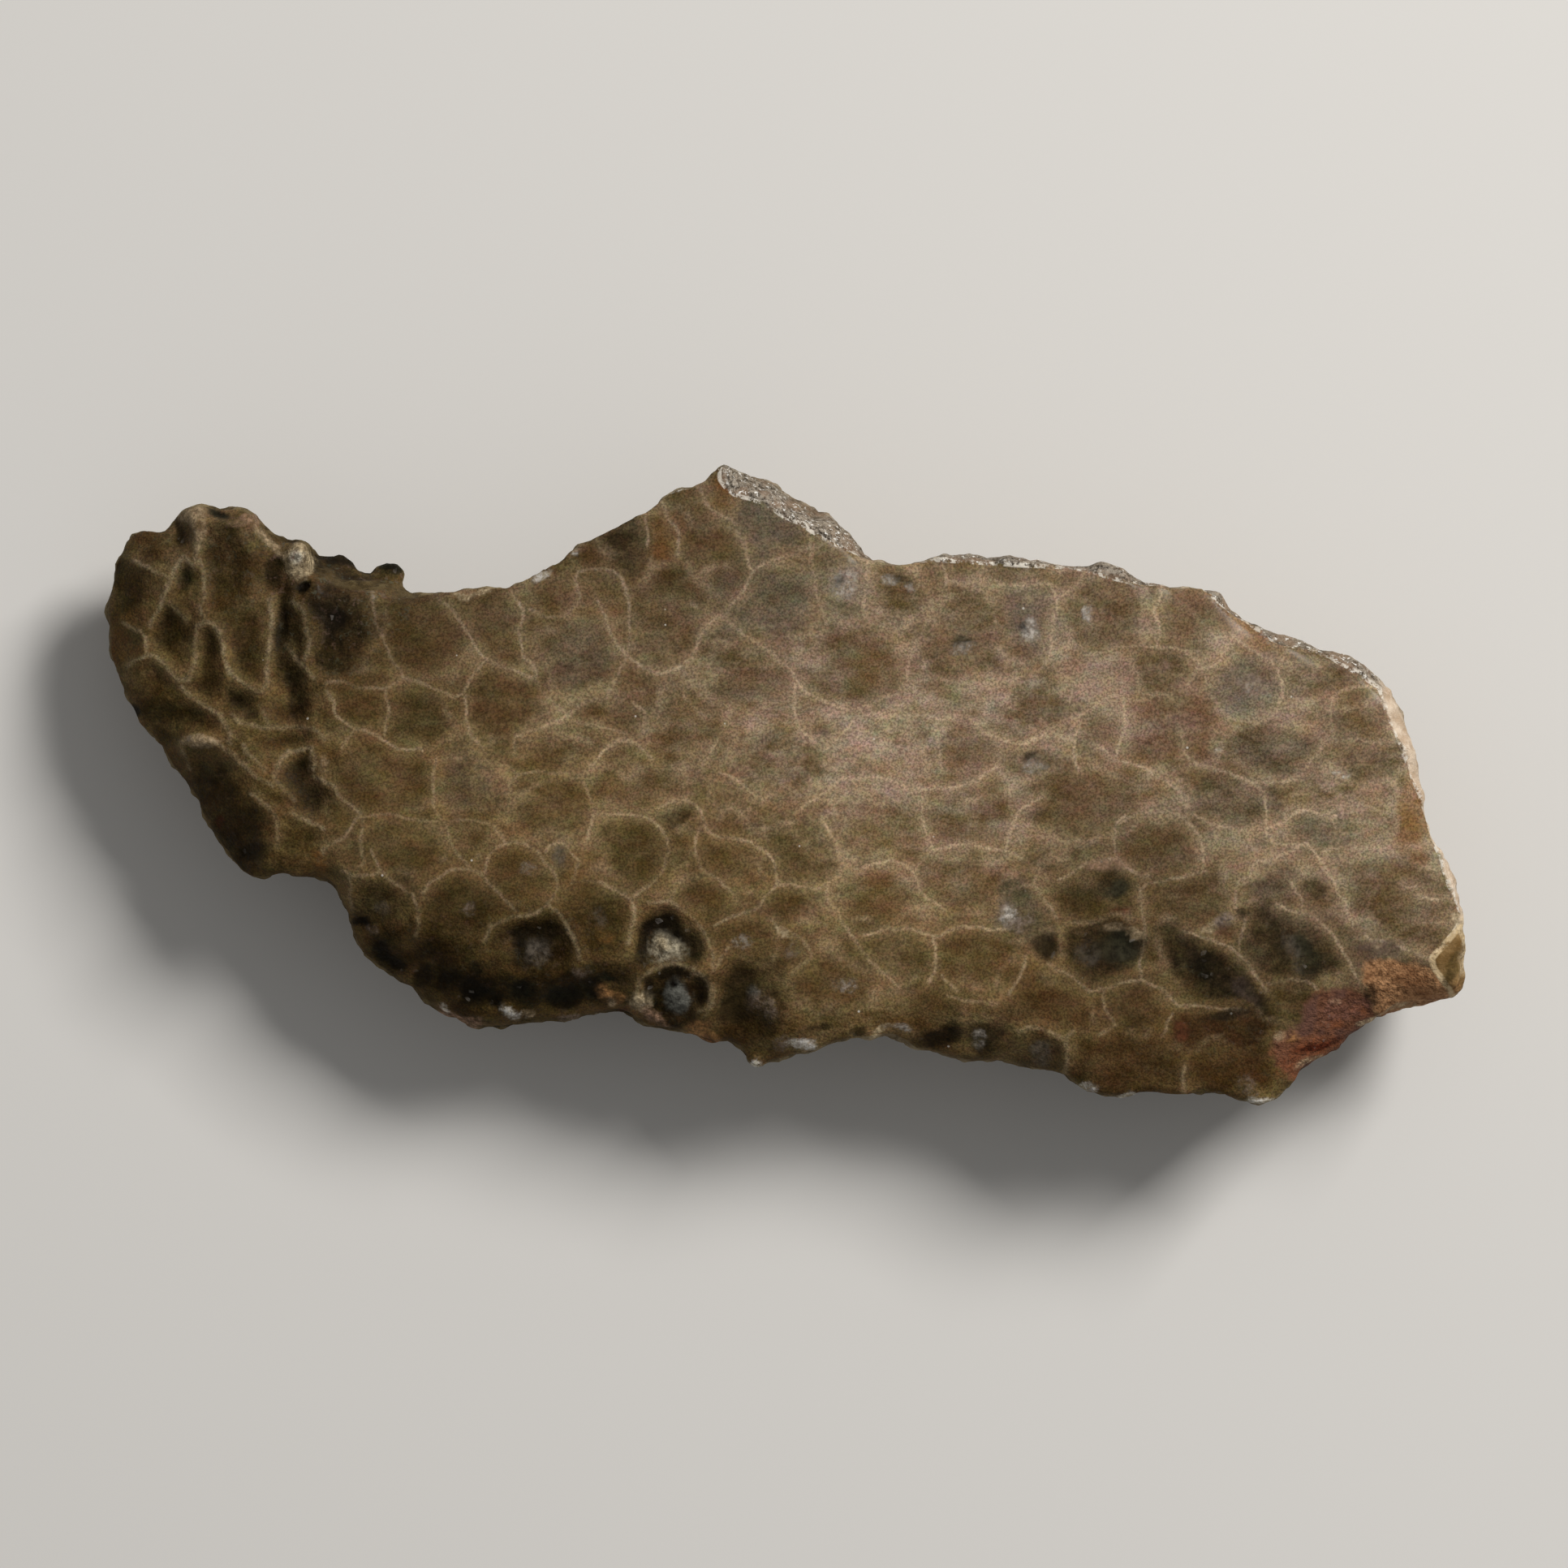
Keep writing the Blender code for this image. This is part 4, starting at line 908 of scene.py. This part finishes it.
def vector_sum(operation, one, other=None, output=0, scale=None):
    """One step of vector maths, on one or two vectors."""
    sockets = {0: one}
    if other is not None:
        sockets[1] = other
    if scale is not None:
        sockets["Scale"] = scale
    return Wire.node("ShaderNodeVectorMath", {"operation": operation}, sockets, output)


def moved(where, *by):
    return vector_sum("ADD", where, by)


def mixed(one, other, share, blend="MIX"):
    """Two colours, with this share of the second. Three numbers are a colour as on a screen."""
    one, other = (paint(*c) if isinstance(c, tuple) and len(c) == 3 else c for c in (one, other))
    settings = {"data_type": "RGBA", "blend_type": blend, "clamp_factor": True}
    colour_a, colour_b, colour_result = 6, 7, 2  # the node has a set of sockets for each type
    sockets = {0: share, colour_a: one, colour_b: other}
    return Wire.node("ShaderNodeMix", settings, sockets, colour_result)


def layered(colour, *layers):
    """The colour with others over it in turn, each with its share and how it blends."""
    for layer in layers:
        colour = mixed(colour, *layer)
    return colour


def combined(red, green=None, blue=None):
    """A colour from its channels, or a grey from one value."""
    return Wire.node("ShaderNodeCombineColor", {}, {0: red, 1: green or red, 2: blue or red})


def stored(name, output="Fac"):
    return Wire.node("ShaderNodeAttribute", {"attribute_name": name}, {}, output)


def mottle(where, size, detail=2.0, roughness=0.5, output="Fac"):
    """Soft noise around 0.5 whose lumps are about this many millimetres across."""
    sockets = {"Vector": where, "Scale": 1 / size, "Detail": detail, "Roughness": roughness}
    return Wire.node("ShaderNodeTexNoise", {}, sockets, output)


def patches(where, size, low, high, detail=3.0, roughness=0.5):
    """Patches of 1 on 0 where soft noise rises from low to high."""
    return ramp(mottle(where, size, detail, roughness), low, high)


def grains(where, size, feature="F1", output="Distance"):
    """Cells of this size: how far their middles or edges are, or a colour for each."""
    settings = {"feature": feature}
    return Wire.node("ShaderNodeTexVoronoi", settings, {"Vector": where, "Scale": 1 / size}, output)


def first_channel(colour):
    return Wire.node("ShaderNodeSeparateColor", {}, {0: colour}, 0)


material = bpy.data.materials.new("polished fossil coral limestone")
material.use_nodes = True
Wire.tree = material.node_tree
surface = Wire.tree.nodes["Principled BSDF"]
surface.inputs["Specular IOR Level"].default_value = 0.05
surface.inputs["Coat Roughness"].default_value = 0.22

place = vector_sum("SCALE", Wire.node("ShaderNodeTexCoord", {}, {}, "Object"), scale=1 / MM)
level = vector_sum("MULTIPLY", place, (1.0, 1.0, 0.0))
wander = vector_sum("SUBTRACT", mottle(level, 1.5, 3.0, 0.58, "Color"), (0.5, 0.5, 0.5))
strayed_level = vector_sum("ADD", level, vector_sum("MULTIPLY", wander, (0.8, 0.8, 0.0)))

polished_share = stored("polished")
top_share = stored("on top")
wild_share = top_share * (1 - polished_share)
yellow_share = stored("yellow")
pale_rim = stored("smooth edge")
hollow = stored("hollow")

# The pale walls, broken up and uneven, each with a halo
wall = halo = 0.0
thinness = 0.5 + 1.1 * mottle(level, 0.9, 2.0, 0.6)
slim = 0.72 + 0.28 * polished_share
for slot in range(WALLS_AT_ONCE):
    offset = vector_sum("SUBTRACT", strayed_level, stored(f"wall {slot} start", "Vector"))
    run = stored(f"wall {slot} run", "Vector")
    strength = Wire.node("ShaderNodeSeparateXYZ", {}, {0: stored(f"wall {slot} facts", "Vector")}, 0)
    inverse = Wire(strength.socket.node.outputs[1])
    share = vector_sum("DOT_PRODUCT", offset, run, "Value") * inverse
    share = Wire.node("ShaderNodeClamp", {}, {0: share})
    gap = vector_sum("SUBTRACT", offset, vector_sum("SCALE", run, scale=share))
    gap = vector_sum("LENGTH", gap, output="Value")
    wall = greater(wall, ramp(gap * thinness * slim, WALL_WIDTH, 0.0) * strength)
    halo = greater(halo, ramp(gap, WALL_REACH, 0.0) * strength)
uneven = patches(level, 2.0, 0.36, 0.62, 4.0, 0.7)
fade = patches(moved(level, 31.0, 4.0, 0.0), 5.0, 0.38, 0.58, 2.0, 0.6)
wall = wall * (0.26 + 0.74 * uneven) * (0.58 + 0.42 * fade)
wall = greater(wall, stored("border") * (0.12 + 0.36 * uneven))

# Colour of the polished face: clouds of olive brown and pale taupe, with warmer patches
streaks = vector_sum("MULTIPLY", place, (0.72, 1.15, 1.0))
patchy = patches(level, 1.8, 0.28, 0.66, 3.0, 0.6)
face_colour = layered(
    mixed((90, 73, 45), (157, 138, 113), patches(streaks, 3.4, 0.3, 0.68, 5.0, 0.66)),
    ((124, 94, 60), patches(moved(level, 40.0, 7.0, 0.0), 6.0, 0.42, 0.7) * 0.45),
    ((140, 114, 98), patches(moved(level, 11.0, 60.0, 0.0), 5.0, 0.5, 0.75) * 0.36),
    (stored("stain", "Color"), stored("stain amount") * (0.66 + 0.34 * patchy)),
)

# The cells' radial partitions, just to be seen near their rims
from_middle = vector_sum("SUBTRACT", strayed_level, stored("cell middle", "Vector"))
far = vector_sum("LENGTH", from_middle, output="Value")
ray = vector_sum("SCALE", vector_sum("NORMALIZE", from_middle), scale=6.0)
ray_place = vector_sum("ADD", ray, vector_sum("SCALE", from_middle, scale=0.4))
partitions = patches(ray_place, 1.0, 0.36, 0.64, 2.0, 0.6)
partition_share = ramp(far, 1.4, 2.8) * ramp(far, 5.0, 3.4)
face_colour = layered(
    face_colour,
    ((150, 130, 100), partitions * partition_share * 0.1),
    ((66, 52, 32), (1 - partitions) * partition_share * 0.08),
    ((152, 130, 102), halo * 0.3),
    (mottle(streaks, 2.2, 4.0, 0.62, "Color"), 0.26, "OVERLAY"),
)

# On that lie painted shade in the cups where the coral isn't polished, the broad tone with its painted
# shade and sheen, and the walls, then grain as coarse as the stone's crystals, partly coloured, and a
# few grains that glint
tone_with_shade = stored("tone_with_shade")
light = combined(tone_with_shade, tone_with_shade**1.1, tone_with_shade**1.5)
# The walls take the broad tone with its painted shade and sheen too, less strongly where the coral isn't
# polished
wall_colour = layered(
    mixed((180, 157, 130), (170, 152, 124), wild_share),
    ((1.0, 0.97, 0.86, 1.0), yellow_share, "MULTIPLY"),
    (combined(tone_with_shade ** (0.72 - 0.2 * wild_share)), 1.0, "MULTIPLY"),
)
fine = patches(place, 0.26, 0.3, 0.7, 1.0, 0.75)
glint = ramp(grains(place, 1.7), 0.1, 0.06)
glint = glint * ramp(first_channel(grains(place, 1.7, output="Color")), 0.955, 0.965)
skin = layered(
    face_colour,
    ((20, 16, 9), wild_share * ramp(hollow, 0.02, 0.24) * 0.45),
    (light, 1.0, "MULTIPLY"),
    ((1.0, 0.955, 0.78, 1.0), yellow_share, "MULTIPLY"),
    (wall_colour, halo**2.5 * 0.13),
    (wall_colour, wall * 0.94),
    (combined(fine), 0.36, "OVERLAY"),
    (mottle(place, 0.42, 1.0, 0.7, "Color"), 0.15, "OVERLAY"),
    ((214, 208, 198), glint * 0.7),
)

# The broken edge: dark and pale crystals with painted glints on them and painted shade in the hollows;
# at the right it turns smooth and pale, partly a painted highlight where it faces the lamp
cracks = patches(moved(place, 3.0, 9.0, 5.0), 1.3, 0.57, 0.7, 3.0, 0.8)
edge_glints = patches(moved(place, 7.0, 2.0, 1.0), 0.7, 0.58, 0.65, 2.0, 0.9)
edge_colour = layered(
    mixed((56, 49, 41), (160, 150, 136), patches(place, 0.6, 0.3, 0.68, 2.0, 0.85)),
    ((142, 116, 94), patches(place, 2.6, 0.46, 0.62) * 0.55),
    ((36, 31, 24), cracks * 0.75),
    ((240, 238, 232), edge_glints * patches(place, 2.4, 0.36, 0.5) * 0.9),
    ((60, 51, 38), ramp(hollow, 0.03, 0.2) * 0.6),
    (mixed((192, 168, 142), (228, 210, 188), patches(place, 1.6, 0.3, 0.7)), pale_rim * 0.85),
)

# The fresh breaks at the lower right corner
rock_grain = patches(place, 0.7, 0.25, 0.75, 2.5, 0.75)
orange_rock = layered(
    mixed((104, 72, 46), (192, 146, 105), rock_grain),
    ((116, 76, 48), patches(place, 3.0, 0.45, 0.65) * 0.5),
)
brick_rock = layered(
    mixed((72, 44, 32), (124, 84, 62), rock_grain),
    ((136, 82, 50), patches(place, 3.0, 0.5, 0.66, 4.0) * 0.6),
    ((96, 70, 62), patches(place, 4.5, 0.5, 0.62) * 0.6),
)
corner_rock = mixed((104, 78, 42), (146, 118, 78), patches(place, 2.2, 0.3, 0.62, 4.0, 0.6))
crumble = (mottle(place, 1.3, 3.0, 0.7) - 0.5) * 1.8


def reaches(name, softness, rough=1.0):
    """0 outside one of the outlines and 1 inside it, with a crumbled edge between."""
    return ramp(stored(f"{name} depth") + crumble * rough, -softness, softness)


level_up = Wire.node("ShaderNodeSeparateXYZ", {}, {0: place}, 2)
near_top = ramp(level_up, 14.5, 19.0)
edge_share = reaches("edge", 0.16, 1 - 0.7 * pale_rim) * greater(top_share, near_top * 0.85)
# A pale line along the top rim of the broken edge: a painted highlight
edge_rim_highlight = ramp(stored("edge depth") ** 2.0, 0.08, 0.02) * top_share
edge_rim_highlight = edge_rim_highlight * patches(place, 1.2, 0.46, 0.58, 3.0, 0.8)
brick_share = reaches("brick", 0.5) * stored("fresh")
orange_share = reaches("orange", 0.35) * stored("fresh")
corner_share = reaches("corner", 0.16)
# A pale line along the rim of the corner break: a painted highlight
corner_rim_highlight = ramp((stored("corner depth") - 0.1) ** 2.0, 0.2, 0.04) * near_top

# The sides, with the coral's columns, painted shade in their hollows and painted highlights on their
# ridges, and, away from the pale smooth edge, the broad tone with its painted shade
column = grains(vector_sum("MULTIPLY", place, (1.0, 1.0, 0.06)), 5.5, "DISTANCE_TO_EDGE")
crystal = first_channel(grains(place, 0.55, output="Color"))
side_colour = layered(
    mixed((92, 78, 56), (142, 126, 102), patches(place, 3.0, 0.3, 0.7, 5.0, 0.6)),
    ((160, 142, 116), ramp(column, 0.09, 0.02) * 0.5),
    ((72, 52, 28), patches(place, 7.0, 0.5, 0.7, 4.0) * 0.6),
    ((56, 45, 30), ramp(hollow, 0.02, 0.22) * 0.8),
    ((186, 172, 148), ramp(hollow, -0.04, -0.25) * 0.6),
    ((60, 50, 36), ramp(crystal, 0.2, 0.03) * 0.5),
    (mixed((1.0, 1.0, 1.0, 1.0), light, 1 - pale_rim), 1.0, "MULTIPLY"),
)

# The back: darker in the middles of its cups and paler on the worn walls between them, with painted
# shade in its hollows
back_depth = stored("back wall") + (mottle(place, 1.2, 3.0, 0.7) - 0.5) * 0.16
worn = patches(level, 6.0, 0.36, 0.6, 4.0, 0.6)
back_colour = layered(
    mixed((92, 75, 52), (138, 120, 94), patches(place, 3.0, 0.3, 0.7, 4.0, 0.65)),
    ((122, 92, 60), patches(place, 9.0, 0.48, 0.66, 4.0) * 0.6),
    ((168, 148, 118), ramp(back_depth, 0.16, 0.03) * (0.15 + 0.5 * worn)),
    ((62, 50, 32), ramp(back_depth, 0.3, 0.6) * 0.45),
    ((52, 42, 28), ramp(hollow, 0.02, 0.2) * 0.7),
)

# All of these together. Where the face is dark it is speckled with greenish and rosy crystals
ragged = ramp(top_share + crumble * 0.3, 0.3, 0.7)
dim = ramp(tone_with_shade, 0.62, 0.4) * ragged * (1 - greater(brick_share, orange_share))
speck = patches(moved(place, 2.0, 5.0, 9.0), 0.9, 0.55, 0.65, 2.5, 0.85)
speck_colour = mixed((84, 90, 76), (112, 88, 78), patches(place, 3.0, 0.44, 0.58))
colour = layered(
    mixed(side_colour, back_colour, stored("on back")),
    (skin, ragged),
    (edge_colour, edge_share),
    ((228, 222, 210), edge_rim_highlight * 0.7),
    (brick_rock, brick_share),
    (orange_rock, orange_share),
    (corner_rock, corner_share * near_top),
    ((214, 190, 150), corner_rim_highlight * patches(place, 1.2, 0.36, 0.5, 5.0, 0.7) * 0.8),
    (speck_colour, speck * dim * (0.46 - 0.34 * yellow_share)),
)

# The marks lie over everything, ragged and speckled with crystals, and with sparse grey specks that are
# painted glints
mark_paint = stored("mark", "Color")
mark_share = stored("mark amount")
mark_share = mark_share * ramp(mark_share + (mottle(place, 1.6, 4.0, 0.8) - 0.5) * 2.0, 0.0, 0.8)
crystals = patches(place, 0.8, 0.6, 0.42, 2.5, 0.85) * ramp(first_channel(mark_paint), 0.08, 0.2)
mark_colour = layered(
    mark_paint,
    (combined(patches(place, 0.9, 0.3, 0.72, 2.5, 0.8)), 0.6, "OVERLAY"),
    ((130, 124, 118), ramp(crystal, 0.95, 0.97) * patches(place, 2.5, 0.48, 0.6) * 0.5),
)
colour = mixed(colour, mark_colour, mark_share * (1 - 0.55 * crystals))

# Gloss and fine relief, in millimetres
dull = greater(greater(edge_share, brick_share), greater(orange_share, corner_share))
shine = polished_share * (1 - dull)
roughness = 0.72 - 0.12 * (wild_share * (1 - dull)) - 0.36 * shine + (fine - 0.5) * 0.2
ROCK_RELIEF, CRYSTAL_RELIEF, CALM_RELIEF = 0.5, 0.16, 0.03
rough_relief = (mottle(place, 0.8, 2.5, 0.65) - 0.5) * ROCK_RELIEF
rough_relief = rough_relief + (crystal - 0.5) * CRYSTAL_RELIEF
calm_relief = (mottle(place, 2.2, 1.0) - 0.5) * CALM_RELIEF
smooth_share = polished_share * ramp(stored("edge depth"), 0.1, -0.1)
torn = greater(ramp(stored("brick depth"), -0.5, 0.5), ramp(stored("orange depth"), -0.5, 0.5))
rough_share = (1 - smooth_share) * (1 - 0.6 * (wild_share * (1 - torn)))
relief = calm_relief * smooth_share + rough_relief * rough_share
bump = Wire.node("ShaderNodeBump", {}, {"Strength": 1.0, "Distance": MM, "Height": relief})
for name, wire in {
    "Base Color": colour, "Coat Weight": 0.16 * shine, "Roughness": roughness, "Normal": bump
}.items():
    Wire.tree.links.new(wire.socket, surface.inputs[name])
mesh.materials.clear()
mesh.materials.append(material)

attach(stone, "root")
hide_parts("petoskey_stone")

# The studio
# A pale matt floor that the stone lies on, one large soft lamp at the upper right as in the
# photograph, and even dim light all round. The camera looks straight down.

FLOOR_SIZE = 4.0
FLOOR_COLOUR = (0.78, 0.77, 0.75, 1.0)
VIEW_WIDTH = 2 * PHOTO_MIDDLE / PIXELS_TO_A_MM * MM  # what the photograph takes in
FACE_LEVEL = 21 * MM
CAMERA_HEIGHT = 1.5
SENSOR = 36.0  # mm
LAMP_PLACE = (0.75, 0.75, 0.95)
LAMP_SIZE = 0.5
LAMP_POWER = 19  # watts
ROOM_LIGHT = 0.21

half = FLOOR_SIZE / 2
floor_mesh = bpy.data.meshes.new("floor")
floor_mesh.from_pydata(
    [(-half, -half, 0), (half, -half, 0), (half, half, 0), (-half, half, 0)], [], [(0, 1, 2, 3)]
)
floor = add_object("floor", floor_mesh)
floor_material = bpy.data.materials.new("pale floor")
floor_material.use_nodes = True
floor_surface = floor_material.node_tree.nodes["Principled BSDF"]
floor_surface.inputs["Base Color"].default_value = FLOOR_COLOUR
floor_surface.inputs["Roughness"].default_value = 0.9
floor_surface.inputs["Specular IOR Level"].default_value = 0.1
floor_mesh.materials.append(floor_material)

lamp_data = bpy.data.lights.new("lamp", "AREA")
lamp_data.shape = "SQUARE"
lamp_data.size = LAMP_SIZE
lamp_data.energy = LAMP_POWER
lamp_data.color = (1.0, 0.97, 0.93)
lamp = add_object("lamp", lamp_data)
lamp.location = LAMP_PLACE
lamp.rotation_euler = (-Vector(LAMP_PLACE)).to_track_quat("-Z", "Y").to_euler()

world = bpy.data.worlds.new("room")
world.use_nodes = True
background = world.node_tree.nodes["Background"]
background.inputs["Color"].default_value = (1.0, 0.99, 0.97, 1.0)
background.inputs["Strength"].default_value = ROOM_LIGHT
bpy.context.scene.world = world
bpy.context.scene.view_settings.view_transform = "Standard"

camera_data = bpy.data.cameras.new("camera")
camera_data.sensor_width = SENSOR
camera_data.lens = SENSOR * (CAMERA_HEIGHT - FACE_LEVEL) / VIEW_WIDTH
camera_data.clip_end = 10
camera = add_object("camera", camera_data)
camera.location = (-MIDDLE_SHIFT * MM, 0, CAMERA_HEIGHT)
bpy.context.scene.camera = camera
